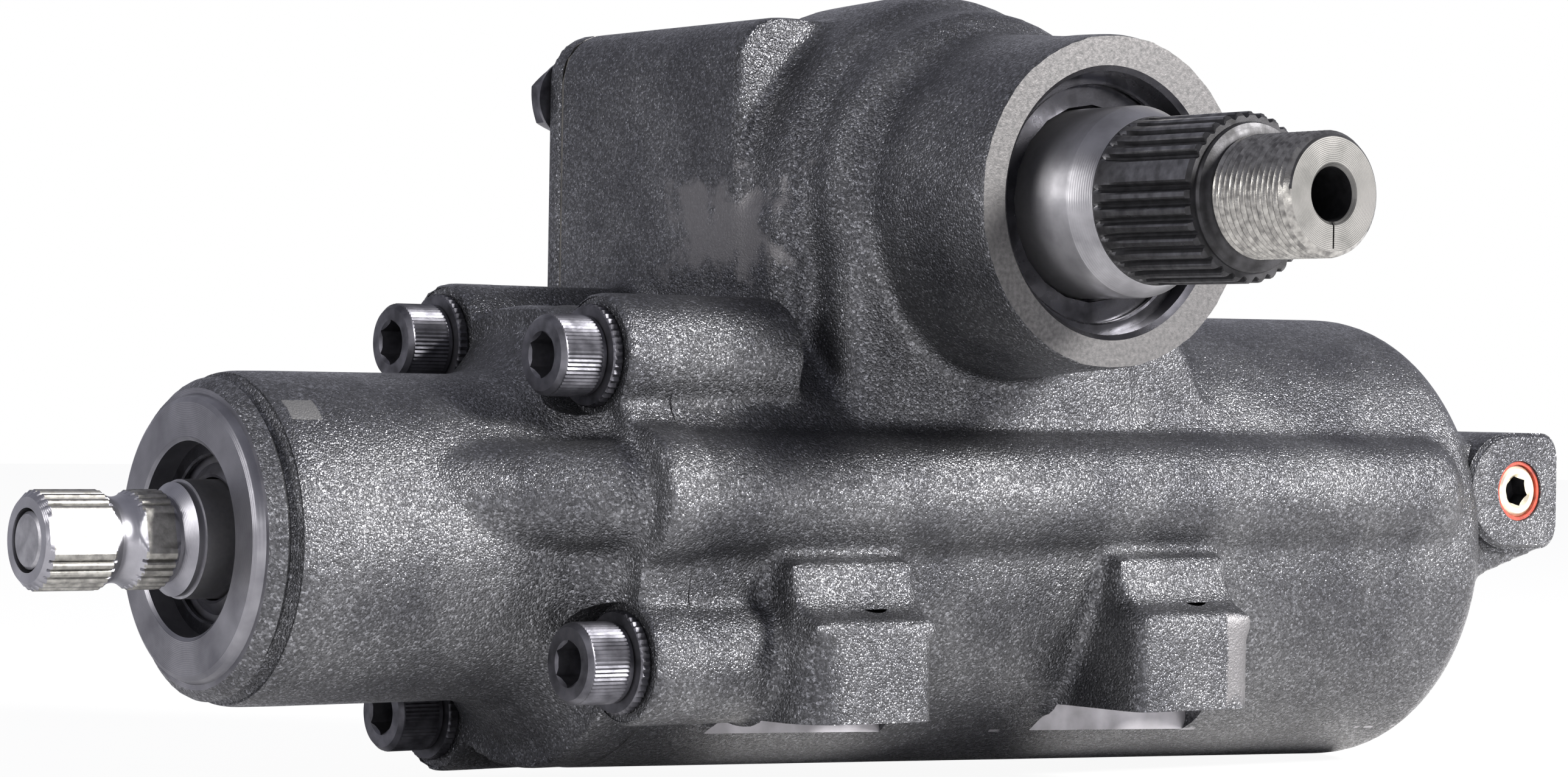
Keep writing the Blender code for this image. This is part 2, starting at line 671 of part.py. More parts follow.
        # The web above the spot face curves back towards the body
        cove_y, cove_z = y + side * MOUNT_REACH, MOUNT_TOP_Z + MOUNT_COVE_R
        low_y, high_y = sorted((cove_y + side * 0.002, cove_y - side * MOUNT_COVE_R))
        body = cut(body,
                   cylinder(x - MOUNT_LEFT - 0.001, x + MOUNT_RIGHT + 0.001, MOUNT_COVE_R, along_x(cove_y, cove_z), MEDIUM),
                   box((x - MOUNT_LEFT - 0.0012, low_y, cove_z), (x + MOUNT_RIGHT + 0.0012, high_y, MOUNT_WEB_TOP_Z + 0.002)))
        start = 0 if side < 0 else 180
        pocket = arc(x, y, MOUNT_SPOT_R, start, start + 180, 6)
        pocket += [(pocket[-1][0], y + side * 0.030), (pocket[0][0], y + side * 0.030)]
        body = cut(body, prism(pocket, MOUNT_TOP_Z, MOUNT_TOP_Z + 0.0150, along_z(0.0, 0.0)))
        body = cut(body, cylinder(PAD_Z - 0.004, MOUNT_TOP_Z + 0.004, MOUNT_HOLE_R, along_z(x, y), SMALL))

    # Main bore, sector chamber and its opening for the cover
    body = cut(body, cylinder(SEAM_X - 0.004, BORE_END_X, BORE_R, MAIN_AXIS, FINE))
    chamber = cylinder(CAVITY_NEAR_Y, COVER_SEAM_Y + 0.004, CAVITY_R, SECTOR_AXIS, FINE)
    chamber = cut(chamber, box((SECTOR_X - 0.060, -0.060, CAVITY_TOP_Z), (SECTOR_X + 0.060, 0.080, 0.130)))
    body = cut(body, chamber)

    # Shaft boss: needle bearing bore, seal bore and snap ring groove
    body = cut(body,
               cylinder(SEAL_BORE_END_Y - 0.001, CAVITY_NEAR_Y + 0.004, NEEDLE_R, SECTOR_AXIS, MEDIUM),
               turned([(BOSS_FACE_Y - 0.001, SEAL_BORE_R + 0.0020), (BOSS_FACE_Y + 0.0010, SEAL_BORE_R),
                       (SEAL_BORE_END_Y, SEAL_BORE_R)],
                      place=SECTOR_AXIS, steps=FINE),
               ring(seal_stack()["snap"][0] - CLEAR, seal_stack()["snap"][1] + CLEAR, SNAP_GROOVE_R,
                    SEAL_BORE_R - 0.001, SECTOR_AXIS, FINE))

    # Tapped holes for the housing screws and the cover bolts
    for y, z in VALVE_SCREWS:
        body = cut(body, cylinder(SEAM_X - 0.004, SEAM_X + SCREW_REACH + 0.003, SCREW_R + THREAD_CLEAR,
                                  along_x(y, z), SMALL))
    for x, z in cover_bolt_places():
        body = cut(body, cylinder(COVER_SEAM_Y - COVER_BOLT_REACH, COVER_SEAM_Y + 0.004,
                                  COVER_BOLT_R + THREAD_CLEAR, along_y(x, z), TINY))

    # Pressure passage in the ridge, cross drilling, and the way into the end of the bore
    body = cut(body,
               cylinder(SEAM_X - 0.004, PLUG_X, PASSAGE_R, along_x(RIDGE_Y, RIDGE_Z), TINY),
               cylinder(PLUG_FACE_Y + 0.006, 0.004, PASSAGE_R + 0.0004, along_y(PLUG_X, PLUG_Z), TINY),
               cylinder(BORE_END_X - 0.004, PLUG_X + 0.001, PASSAGE_R, along_x(0.0, PLUG_Z), TINY),
               cylinder(PLUG_FACE_Y - 0.002, PLUG_FACE_Y + PLUG_HEAD_DEPTH, PLUG_SEAL_R + CLEAR,
                        along_y(PLUG_X, PLUG_Z), SMALL),
               cylinder(PLUG_FACE_Y, PLUG_FACE_Y + PLUG_LENGTH + CLEAR, PLUG_THREAD_R + THREAD_CLEAR,
                        along_y(PLUG_X, PLUG_Z), SMALL))
    return finish(body, "gear_housing", mat)


def valve_housing(mat):
    """The casting at the input end, with the valve bore, the flange and the two line ports."""
    outer = [(VALVE_FACE_X, VALVE_RING_R), (VALVE_FACE_X + VALVE_CONE_LENGTH, VALVE_CONE_R),
             (VALVE_SHOULDER_X - 0.0010, VALVE_CONE_R + 0.0002),
             (VALVE_SHOULDER_X, VALVE_R), (FLANGE_FRONT_X - VALVE_CASTING_FLARE, VALVE_R),
             (FLANGE_FRONT_X - 0.0080, VALVE_R + 0.0018), (FLANGE_FRONT_X - 0.0030, VALVE_R + 0.0062),
             (FLANGE_FRONT_X + 0.0010, VALVE_R + 0.0110), (SEAM_X + 0.0030, VALVE_R + 0.0110)]
    body = turned(outer, steps=FINE)
    flange = cylinder(FLANGE_FRONT_X - 0.002, SEAM_X + 0.002, FLANGE_R, MAIN_AXIS, FINE)
    for number, (y, z) in enumerate(VALVE_SCREWS, 3):
        flange = join(flange, ear(y, z, FLANGE_FRONT_X - number * 0.001, SEAM_X + number * 0.001))
    flange = common(flange, box((FLANGE_FRONT_X, -0.080, -0.080), (SEAM_X + 0.0015, 0.080, 0.080)))
    body = join(body, flange)

    # Passage bulge on the near side, growing out of the body towards the flange
    passage = turned([(FLANGE_FRONT_X - 0.0380, 0.0060), (FLANGE_FRONT_X - 0.0200, 0.0105),
                      (SEAM_X + 0.0040, 0.0120)], place=along_x(0.0, 0.0), steps=SMALL)
    lean = (abs(RIDGE_Y) - VALVE_R + 0.0100) / 0.0490
    for vertex in passage.data.vertices:
        reach = VALVE_R - 0.0100 + lean * (vertex.co.z - (FLANGE_FRONT_X - 0.0380))
        vertex.co.y -= reach
        vertex.co.x -= RIDGE_Z
    body = join(body, passage)

    # Port bosses on the far side, open to the valve bore
    for number, x in enumerate(PORT_XS):
        body = join(body, cylinder(0.0200 + number * 0.001, PORT_FACE_Y, PORT_BOSS_R, along_y(x, 0.0), SMALL))
    body = cut(body, box((SEAM_X - CLEAR / 2, -0.080, -0.080), (SEAM_X + 0.020, 0.080, 0.080)))

    # Spigot that centres the housing in the main bore
    spigot = cylinder(SEAM_X - 0.0035, SPIGOT_END_X, BORE_R - CLEAR, MAIN_AXIS, FINE)
    body = join(body, spigot)

    # Seats round the screw heads
    for y, z in VALVE_SCREWS:
        seat = FLANGE_FRONT_X + SPOT_DEPTH
        body = cut(body, turned([(seat - 0.0300, SPOT_R), (seat, SPOT_R), (seat, SCREW_R + CLEAR),
                                 (SEAM_X + 0.001, SCREW_R + CLEAR)], place=along_x(y, z), steps=SMALL))

    # Inside: seal recess with a snap ring groove, needle bearing, sleeve bore, thrust bearings, retainer
    snap = input_stack()["snap"]
    body = cut(body, turned([(VALVE_FACE_X - 0.002, RECESS_R + 0.0012), (VALVE_FACE_X, RECESS_R + 0.0012),
                             (VALVE_FACE_X + 0.0012, RECESS_R), (RECESS_END_X, RECESS_R),
                             (RECESS_END_X, NEEDLE_BORE_R), (SLEEVE_BORE_FRONT_X, NEEDLE_BORE_R),
                             (SLEEVE_BORE_FRONT_X, SLEEVE_R + CLEAR), (THRUST_FRONT_X - CLEAR, SLEEVE_R + CLEAR),
                             (THRUST_FRONT_X - CLEAR, THRUST_BORE_R), (retainer_span()[0] - CLEAR, THRUST_BORE_R),
                             (retainer_span()[0] - CLEAR, RETAINER_R), (SPIGOT_END_X + 0.002, RETAINER_R)],
                            steps=FINE),
               ring(snap[0] - CLEAR, snap[1] + CLEAR, RECESS_R + 0.0013, RECESS_R - 0.001, MAIN_AXIS, FINE),
               ring(SPIGOT_SEAL_X - SPIGOT_SEAL_R - CLEAR, SPIGOT_SEAL_X + SPIGOT_SEAL_R + CLEAR, BORE_R + 0.001,
                    BORE_R - 2 * SPIGOT_SEAL_R - 2 * CLEAR, MAIN_AXIS, FINE))
    for x in PORT_XS:
        body = cut(body, cylinder(PORT_FACE_Y - PORT_DEPTH, PORT_FACE_Y + 0.002, PORT_R, along_y(x, 0.0), SMALL),
                   cylinder(SLEEVE_R - 0.003, PORT_FACE_Y - PORT_DEPTH + 0.002, PORT_PASSAGE_R, along_y(x, 0.0), TINY))
    body = cut(body, cylinder(FLANGE_FRONT_X - 0.010, SEAM_X + 0.002, PASSAGE_R, along_x(RIDGE_Y, RIDGE_Z), TINY))
    return finish(body, "valve_housing", mat)


def seal_stack():
    """Where the sector shaft's seal, its backing washer and the snap ring lie, along Y."""
    seal = (SEAL_BORE_END_Y - CLEAR - SEAL_THICK, SEAL_BORE_END_Y - CLEAR)
    backup = (seal[0] - CLEAR - BACKUP_THICK, seal[0] - CLEAR)
    snap = (backup[0] - CLEAR - SNAP_THICK, backup[0] - CLEAR)
    return {"seal": seal, "backup": backup, "snap": snap}


def input_stack():
    """Where the input shaft's oil seal, dust seal and snap ring lie, along X."""
    oil = (RECESS_END_X - CLEAR - OIL_SEAL_THICK, RECESS_END_X - CLEAR)
    dust = (oil[0] - CLEAR - DUST_SEAL_THICK, oil[0] - CLEAR)
    snap = (dust[0] - CLEAR - INPUT_SNAP_THICK, dust[0] - CLEAR)
    return {"oil": oil, "dust": dust, "snap": snap}


def thrust_spans():
    """The two thrust bearings, one on each side of the worm's flange."""
    front = (WORM_FLANGE_FRONT_X - CLEAR - THRUST_THICK, WORM_FLANGE_FRONT_X - CLEAR)
    rear = (WORM_FLANGE_REAR_X + CLEAR, WORM_FLANGE_REAR_X + CLEAR + THRUST_THICK)
    return front, rear


def retainer_span():
    start = thrust_spans()[1][1] + CLEAR
    return start, start + RETAINER_THICK


def cover_bolt_places():
    return [(SECTOR_X + side * COVER_BOLT_X, z) for z in (COVER_BOLT_TOP_Z, COVER_BOLT_LOW_Z) for side in (-1, 1)]


def socket_screw(name, mat, y, z):
    """A socket head cap screw with its head towards the input end."""
    under = FLANGE_FRONT_X + SPOT_DEPTH - CLEAR - WASHER_THICK - CLEAR
    top = under - SCREW_HEAD_LENGTH
    place = along_x(y, z)
    screw = turned([(top, SCREW_HEAD_R - 0.0007), (top + 0.0007, SCREW_HEAD_R), (under, SCREW_HEAD_R),
                    (under, SCREW_R), (SEAM_X + SCREW_REACH - 0.0010, SCREW_R), (SEAM_X + SCREW_REACH, SCREW_R - 0.001)],
                   place=place, steps=SMALL)
    screw = cut(screw, prism(polygon(0, 0, SCREW_SOCKET), top - 0.001, top + SCREW_SOCKET_DEPTH, place))
    return finish(screw, name, mat)


def lock_washer(name, mat, y, z):
    start = FLANGE_FRONT_X + SPOT_DEPTH - CLEAR - WASHER_THICK
    return finish(ring(start, start + WASHER_THICK, WASHER_R, SCREW_R + CLEAR, along_x(y, z), SMALL), name, mat)


def cover_bolt(name, mat, x, z):
    """A hexagon bolt with a washer face, holding the side cover."""
    place = along_y(x, z)
    seat = cover_span()[1] + CLEAR
    bolt = turned([(COVER_SEAM_Y - COVER_BOLT_REACH + 0.001, COVER_BOLT_R - 0.001),
                   (COVER_SEAM_Y - COVER_BOLT_REACH + 0.002, COVER_BOLT_R), (seat, COVER_BOLT_R),
                   (seat, COVER_BOLT_FLANGE_R), (seat + COVER_BOLT_FLANGE_THICK, COVER_BOLT_FLANGE_R)],
                  place=place, steps=TINY)
    head = prism(polygon(0, 0, COVER_BOLT_HEAD, 6, math.radians(20)), seat + 0.0005, seat + COVER_BOLT_HEAD_HEIGHT, place)
    return finish(join(bolt, head), name, mat, 25)


def cover_span():
    start = COVER_SEAM_Y - CLEAR + CLEAR + GASKET_THICK + CLEAR
    return start, start + COVER_THICK


def cover_outline(inset=0.0):
    return sector_plane(rounded_rectangle(SECTOR_X - BLOCK_HALF + inset, BLOCK_BOTTOM_Z + inset,
                                          SECTOR_X + BLOCK_HALF - inset, BLOCK_TOP_Z - inset, BLOCK_ROUND - inset))


def side_cover(mat):
    """The cover plate with its domed middle, the adjuster boss and the inner bearing hub."""
    start, end = cover_span()
    body = prism(cover_outline(), start, end, SECTOR_AXIS)
    dome = turned([(start + 0.002, COVER_DOME_R + 0.004), (end + 0.0010, COVER_DOME_R + 0.002),
                   (COVER_DOME_Y - 0.0020, COVER_DOME_R - 0.0050), (COVER_DOME_Y, COVER_DOME_R - 0.0090),
                   (COVER_DOME_Y, ADJUSTER_BOSS_R), (ADJUSTER_BOSS_Y, ADJUSTER_BOSS_R - 0.0008)],
                  place=SECTOR_AXIS, steps=MEDIUM)
    hub = cylinder(COVER_HUB_END_Y, start + 0.001, COVER_HUB_R, SECTOR_AXIS, MEDIUM)
    body = join(body, dome, hub)
    for x, z in cover_bolt_places():
        body = cut(body, cylinder(start - 0.002, end + 0.004, COVER_BOLT_R + CLEAR, along_y(x, z), TINY))
    body = cut(body,
               cylinder(COVER_HUB_END_Y - 0.002, TRUNNION_END_Y + 0.0015, BUSH_R, SECTOR_AXIS, MEDIUM),
               cylinder(TRUNNION_END_Y, ADJUSTER_BOSS_Y + 0.002, ADJUSTER_R + THREAD_CLEAR, SECTOR_AXIS, SMALL))
    return finish(body, "side_cover", mat)


def side_cover_gasket(mat):
    """A thin ring between the chamber's face and the cover."""
    start = COVER_SEAM_Y - CLEAR + CLEAR
    body = prism(cover_outline(0.0002), start, start + GASKET_THICK, SECTOR_AXIS)
    opening = cylinder(start - 0.002, start + 0.004, CAVITY_R, SECTOR_AXIS, FINE)
    opening = cut(opening, box((SECTOR_X - 0.060, 0.0, CAVITY_TOP_Z), (SECTOR_X + 0.060, 0.090, 0.130)))
    body = cut(body, opening)
    for x, z in cover_bolt_places():
        body = cut(body, cylinder(start - 0.002, start + 0.004, COVER_BOLT_R + CLEAR, along_y(x, z), TINY))
    return finish(body, "side_cover_gasket", mat)


def adjuster_screw(mat):
    """The screw that sets the sector's mesh: its head turns in the shaft's T slot."""
    head_end = TRUNNION_END_Y - T_SLOT_LIP - CLEAR
    head_start = head_end - T_SLOT_HEIGHT + 2 * CLEAR
    screw = turned([(head_start, T_HEAD_R), (head_end, T_HEAD_R), (head_end, ADJUSTER_R),
                    (ADJUSTER_END_Y - 0.001, ADJUSTER_R), (ADJUSTER_END_Y, ADJUSTER_R - 0.001)],
                   place=SECTOR_AXIS, steps=SMALL)
    screw = cut(screw, prism(polygon(0, 0, ADJUSTER_SOCKET), ADJUSTER_END_Y - 0.006, ADJUSTER_END_Y + 0.001,
                             SECTOR_AXIS))
    return finish(screw, "adjuster_screw", mat)


def adjuster_locknut(mat):
    start = ADJUSTER_BOSS_Y + CLEAR
    nut = prism(polygon(0, 0, LOCKNUT_WIDTH, 6, math.radians(10)), start, start + LOCKNUT_THICK, SECTOR_AXIS)
    nut = cut(nut, cylinder(start - 0.001, start + LOCKNUT_THICK + 0.001, ADJUSTER_R + THREAD_CLEAR, SECTOR_AXIS, SMALL))
    return finish(nut, "adjuster_locknut", mat, 25)


def involute(base_r, radius):
    """The roll-off angle of an involute at a radius."""
    turn = math.sqrt(max(radius * radius / (base_r * base_r) - 1.0, 0.0))
    return turn - math.atan(turn)


def sector_outline():
    """The toothed sector in (x, z) about its shaft, its middle tooth pointing down."""
    base_r = PITCH_R * math.cos(PRESSURE_ANGLE)
    half = (PITCH / 2 - BACKLASH) / 2 / PITCH_R + involute(base_r, PITCH_R)
    flank = [base_r + (SECTOR_TIP_R - base_r) * i / 3 for i in range(4)]
    points = []
    step = 2 * math.pi / TEETH_ROUND
    for k in range(SECTOR_TEETH):
        middle = -math.pi / 2 + (k - (SECTOR_TEETH - 1) / 2) * step
        points.append((SECTOR_ROOT_R, middle - half))
        points += [(r, middle - half + involute(base_r, r)) for r in flank]
        points += [(r, middle + half - involute(base_r, r)) for r in reversed(flank)]
        points.append((SECTOR_ROOT_R, middle + half))
    end = (SECTOR_TEETH - 1) / 2 * step + half + math.radians(6.0)
    points.insert(0, (SECTOR_ROOT_R, -math.pi / 2 - end))
    points.append((SECTOR_ROOT_R, -math.pi / 2 + end))
    points.append((HUB_R, -math.pi / 2 + end + math.radians(14.0)))
    for i in range(1, 12):
        start = -math.pi / 2 + end + math.radians(14.0)
        points.append((HUB_R, start + (2 * math.pi - 2 * end - math.radians(28.0)) * i / 12))
    points.append((HUB_R, -math.pi / 2 - end - math.radians(14.0)))
    return [(r * math.cos(a), r * math.sin(a)) for r, a in points]


def sector_shaft(mat):
    """The output shaft: journal, spline, thread and the three-toothed sector in one forging."""
    shaft = turned([(SHAFT_TIP_Y, THREAD_R - TIP_CHAMFER), (SHAFT_TIP_Y + TIP_CHAMFER, THREAD_R),
                    (THREAD_ROOT_Y - NECK_LENGTH, THREAD_R), (THREAD_ROOT_Y - NECK_LENGTH + 0.0006, NECK_R),
                    (THREAD_ROOT_Y, NECK_R), (THREAD_ROOT_Y, SPLINE_COLLAR_R), (SPLINE_END_Y, SPLINE_COLLAR_R),
                    (SPLINE_END_Y, SPLINE_R - SPLINE_DEPTH - 0.0002), (SPLINE_START_Y, SPLINE_R - SPLINE_DEPTH - 0.0002),
                    (SPLINE_START_Y, SPLINE_R + 0.0003), (SPLINE_START_Y + 0.0015, SPLINE_R + 0.0003),
                    (JOURNAL_END_Y, SECTOR_JOURNAL_R),
                    (SECTOR_NEAR_Y + 0.001, SECTOR_JOURNAL_R), (SECTOR_NEAR_Y + 0.001, HUB_R - 0.001),
                    (SECTOR_FAR_Y - 0.001, HUB_R - 0.001), (SECTOR_FAR_Y - 0.001, TRUNNION_R),
                    (TRUNNION_END_Y - 0.0010, TRUNNION_R), (TRUNNION_END_Y, TRUNNION_R - 0.0010)],
                   place=SECTOR_AXIS, steps=MEDIUM)
    spline = prism(serration(SPLINE_R, SPLINE_DEPTH, SPLINE_TEETH), SPLINE_END_Y, SPLINE_START_Y + 0.0006,
                   SECTOR_AXIS)
    teeth = prism([(x, -z) for x, z in sector_outline()], SECTOR_NEAR_Y, SECTOR_FAR_Y, SECTOR_AXIS)
    shaft = join(shaft, spline, teeth)

    # T slot for the adjuster's head, open to both sides
    lip = TRUNNION_END_Y - T_SLOT_LIP
    shaft = cut(shaft,
                prism([(-TRUNNION_R * 1.2, -T_SLOT_WIDTH / 2), (TRUNNION_R * 1.2, -T_SLOT_WIDTH / 2),
                       (TRUNNION_R * 1.2, T_SLOT_WIDTH / 2), (-TRUNNION_R * 1.2, T_SLOT_WIDTH / 2)],
                      lip - 0.001, TRUNNION_END_Y + 0.002, SECTOR_AXIS),
                prism([(-TRUNNION_R * 1.2, -T_HEAD_R - CLEAR), (TRUNNION_R * 1.2, -T_HEAD_R - CLEAR),
                       (TRUNNION_R * 1.2, T_HEAD_R + CLEAR), (-TRUNNION_R * 1.2, T_HEAD_R + CLEAR)],
                      lip - T_SLOT_HEIGHT, lip, SECTOR_AXIS))

    # Centre hole and the index slot in the threaded end
    shaft = cut(shaft,
                turned([(SHAFT_TIP_Y - 0.001, CENTRE_HOLE_R + 0.0006), (SHAFT_TIP_Y, CENTRE_HOLE_R + 0.0006),
                        (SHAFT_TIP_Y + 0.0006, CENTRE_HOLE_R), (SHAFT_TIP_Y + CENTRE_HOLE_DEPTH, CENTRE_HOLE_R)],
                       place=SECTOR_AXIS, steps=SMALL),
                box((SECTOR_X - INDEX_SLOT_WIDTH / 2, SHAFT_TIP_Y - 0.001, SECTOR_Z - THREAD_R - 0.001),
                    (SECTOR_X + INDEX_SLOT_WIDTH / 2, SHAFT_TIP_Y + INDEX_SLOT_DEPTH, SECTOR_Z - CENTRE_HOLE_R)))
    return finish(shaft, "sector_shaft", mat)


def rack_piston(mat):
    """The piston that is also the ball nut, with the rack on its top."""
    body = turned([(PISTON_FRONT_X, PISTON_R - 0.0012), (PISTON_FRONT_X + 0.0012, PISTON_R),
                   (PISTON_REAR_X - 0.0012, PISTON_R), (PISTON_REAR_X, PISTON_R - 0.0012)],
                  steps=FINE)
    body = cut(body, cylinder(PISTON_FRONT_X - 0.001, PISTON_REAR_X - 0.001, NUT_R, MAIN_AXIS, GROOVE_STEPS),
               cylinder(PISTON_REAR_X - END_PLUG_DEPTH, PISTON_REAR_X + 0.001, END_PLUG_R, MAIN_AXIS, MEDIUM))
    body = cut(body, box((SECTOR_X - RACK_HALF, -0.050, RACK_TOP_Z), (SECTOR_X + RACK_HALF, 0.050, 0.060)))
    for k in range(SECTOR_TEETH):
        middle = SECTOR_X + (k - (SECTOR_TEETH - 1) / 2) * PITCH
        reach = PITCH_LINE_Z - RACK_ROOT_Z
        lower = PITCH / 4 - reach * math.tan(PRESSURE_ANGLE)
        over = RACK_ADDENDUM + 0.004
        upper = PITCH / 4 + over * math.tan(PRESSURE_ANGLE)
        outline = [(middle - lower, RACK_ROOT_Z), (middle + lower, RACK_ROOT_Z),
                   (middle + upper, PITCH_LINE_Z + over), (middle - upper, PITCH_LINE_Z + over)]
        body = cut(body, prism(sector_plane(outline), -0.045, 0.045, SECTOR_AXIS))

    # Ring groove, ball groove in the nut, and the pocket with the guide's two legs
    body = cut(body, ring(PISTON_RING_X - PISTON_RING_WIDTH / 2 - CLEAR, PISTON_RING_X + PISTON_RING_WIDTH / 2 + CLEAR,
                          PISTON_R + 0.002, PISTON_R - PISTON_RING_DEPTH - CLEAR, MAIN_AXIS, FINE))
    start = CIRCUIT_X - LEAD * CIRCUIT_TURNS / 2
    body = cut(body, tube(helix(BALL_PITCH_R, start, CIRCUIT_TURNS, 0.0, GROOVE_STEPS), GROOVE_R))
    for x in (start, start + LEAD * CIRCUIT_TURNS):
        body = cut(body, cylinder(-GUIDE_DROP, -BALL_PITCH_R, GUIDE_R + CLEAR, along_z(x, 0.0), TINY))
    pocket_x = LEAD * CIRCUIT_TURNS / 2 + GUIDE_R + 0.002
    body = cut(body, box((CIRCUIT_X - pocket_x, -GUIDE_R - 0.002, -0.045),
                         (CIRCUIT_X + pocket_x, GUIDE_R + 0.002, -GUIDE_DROP + GUIDE_R + 0.0013)))
    return finish(body, "rack_piston", mat)


def guide_path():
    """The ball return: out of one end of the circuit, along the piston and back in."""
    start = CIRCUIT_X - LEAD * CIRCUIT_TURNS / 2
    end = start + LEAD * CIRCUIT_TURNS
    drop = -GUIDE_DROP
    bend = GUIDE_BEND_R
    points = [(start, -GUIDE_LEG_END)]
    points += arc(start + bend, drop + bend, bend, 180, 270, 4)
    points += arc(end - bend, drop + bend, bend, 270, 360, 4)
    points.append((end, -GUIDE_LEG_END))
    return [(x, 0.0, z) for x, z in points]


def ball_guide(mat):
    path = guide_path()
    inner = [(path[0][0], 0.0, path[0][2] + 0.002)] + path[1:-1] + [(path[-1][0], 0.0, path[-1][2] + 0.002)]
    return finish(cut(tube(path, GUIDE_R), tube(inner, GUIDE_BORE_R)), "ball_guide", mat)


def balls(mat):
    """The loaded balls, spread along the nut's circuit."""
    start = CIRCUIT_X - LEAD * CIRCUIT_TURNS / 2
    made = []
    for i in range(BALL_COUNT):
        angle = 2 * math.pi * CIRCUIT_TURNS * (i + 0.5) / BALL_COUNT
        centre = (start + LEAD * angle / (2 * math.pi), BALL_PITCH_R * math.sin(angle), -BALL_PITCH_R * math.cos(angle))
        bm = bmesh.new()
        bmesh.ops.create_icosphere(bm, subdivisions=2, radius=BALL_R)
        mesh = bpy.data.meshes.new("ball")
        bm.to_mesh(mesh)
        bm.free()
        made.append(finish(add("ball", mesh, Matrix.Translation(centre)), f"ball_{i + 1}", mat, 180))
    return made


def piston_ring(mat):
    low = PISTON_RING_X - PISTON_RING_WIDTH / 2
    return finish(ring(low, low + PISTON_RING_WIDTH, PISTON_R + CLEAR / 2, PISTON_R - PISTON_RING_DEPTH,
                       MAIN_AXIS, FINE), "piston_ring", mat)


def piston_end_plug(mat):
    start = PISTON_REAR_X - END_PLUG_DEPTH + CLEAR
    plug = cylinder(start, PISTON_REAR_X - 0.0010, END_PLUG_R - THREAD_CLEAR, MAIN_AXIS, MEDIUM)
    socket = prism(polygon(0, 0, END_PLUG_SOCKET, 4), PISTON_REAR_X - 0.009, PISTON_REAR_X, MAIN_AXIS)
    return finish(cut(plug, socket), "piston_end_plug", mat)


def worm_shaft(mat):
    """The worm with its bearing flange and its right-hand ball groove."""
    body = turned([(WORM_FRONT_X, WORM_HEAD_R), (WORM_FLANGE_FRONT_X, WORM_HEAD_R), (WORM_FLANGE_FRONT_X, WORM_FLANGE_R),
                   (WORM_FLANGE_REAR_X, WORM_FLANGE_R), (WORM_FLANGE_REAR_X, WORM_NECK_R), (WORM_NECK_END_X, WORM_NECK_R)],
                  steps=MEDIUM)
    screw = turned([(WORM_NECK_END_X - 0.0020, WORM_R), (WORM_END_X - 0.0010, WORM_R), (WORM_END_X, WORM_R - 0.0010)],
                   steps=GROOVE_STEPS)
    body = join(body, screw)
    # The groove passes through the nut's circuit at the rest pose and covers the travel both ways
    start = CIRCUIT_X - LEAD * CIRCUIT_TURNS / 2
    turns_before = math.ceil((TRAVEL + BALL_R) / LEAD)
    turns = 2 * turns_before + CIRCUIT_TURNS
    first = start - turns_before * LEAD
    while first + turns * LEAD > WORM_END_X - GROOVE_RUN_OUT:
        turns -= 0.25
    groove = tube(helix(BALL_PITCH_R, first, turns, -2 * math.pi * turns_before, GROOVE_STEPS), GROOVE_R)
    body = cut(body, groove,
               cylinder(WORM_FRONT_X - 0.001, PILOT_END_X + CLEAR, WORM_PILOT_R, MAIN_AXIS, MEDIUM),
               cylinder(WORM_FRONT_X - 0.001, TORSION_REAR_X + CLEAR, TORSION_HEAD_R + CLEAR, MAIN_AXIS, SMALL),
               cylinder(-WORM_NECK_R - 0.002, WORM_NECK_R + 0.002, PIN_R + CLEAR, along_z(PIN_X, 0.0), TINY))
    return finish(body, "worm_shaft", mat)


def valve_sleeve(mat):
    """The outer valve, fixed to the worm, with ring grooves and ports between them."""
    body = ring(SLEEVE_FRONT_X, SLEEVE_REAR_X, SLEEVE_R, SPOOL_R + CLEAR, MAIN_AXIS, MEDIUM)
    for x in SLEEVE_RING_XS:
        body = cut(body, ring(x - SLEEVE_RING_WIDTH / 2 - CLEAR, x + SLEEVE_RING_WIDTH / 2 + CLEAR, SLEEVE_R + 0.001,
                              SLEEVE_R - SLEEVE_RING_DEPTH - CLEAR, MAIN_AXIS, MEDIUM))
    for low, high in zip(SLEEVE_RING_XS, SLEEVE_RING_XS[1:]):
        for angle in (0.0, math.pi / 2, math.pi, 3 * math.pi / 2):
            port = cylinder(0.010, 0.030, SLEEVE_PORT_R,
                            Matrix.Rotation(angle, 4, "X") @ along_z((low + high) / 2, 0.0), 6)
            body = cut(body, port)
    return finish(body, "valve_sleeve", mat)


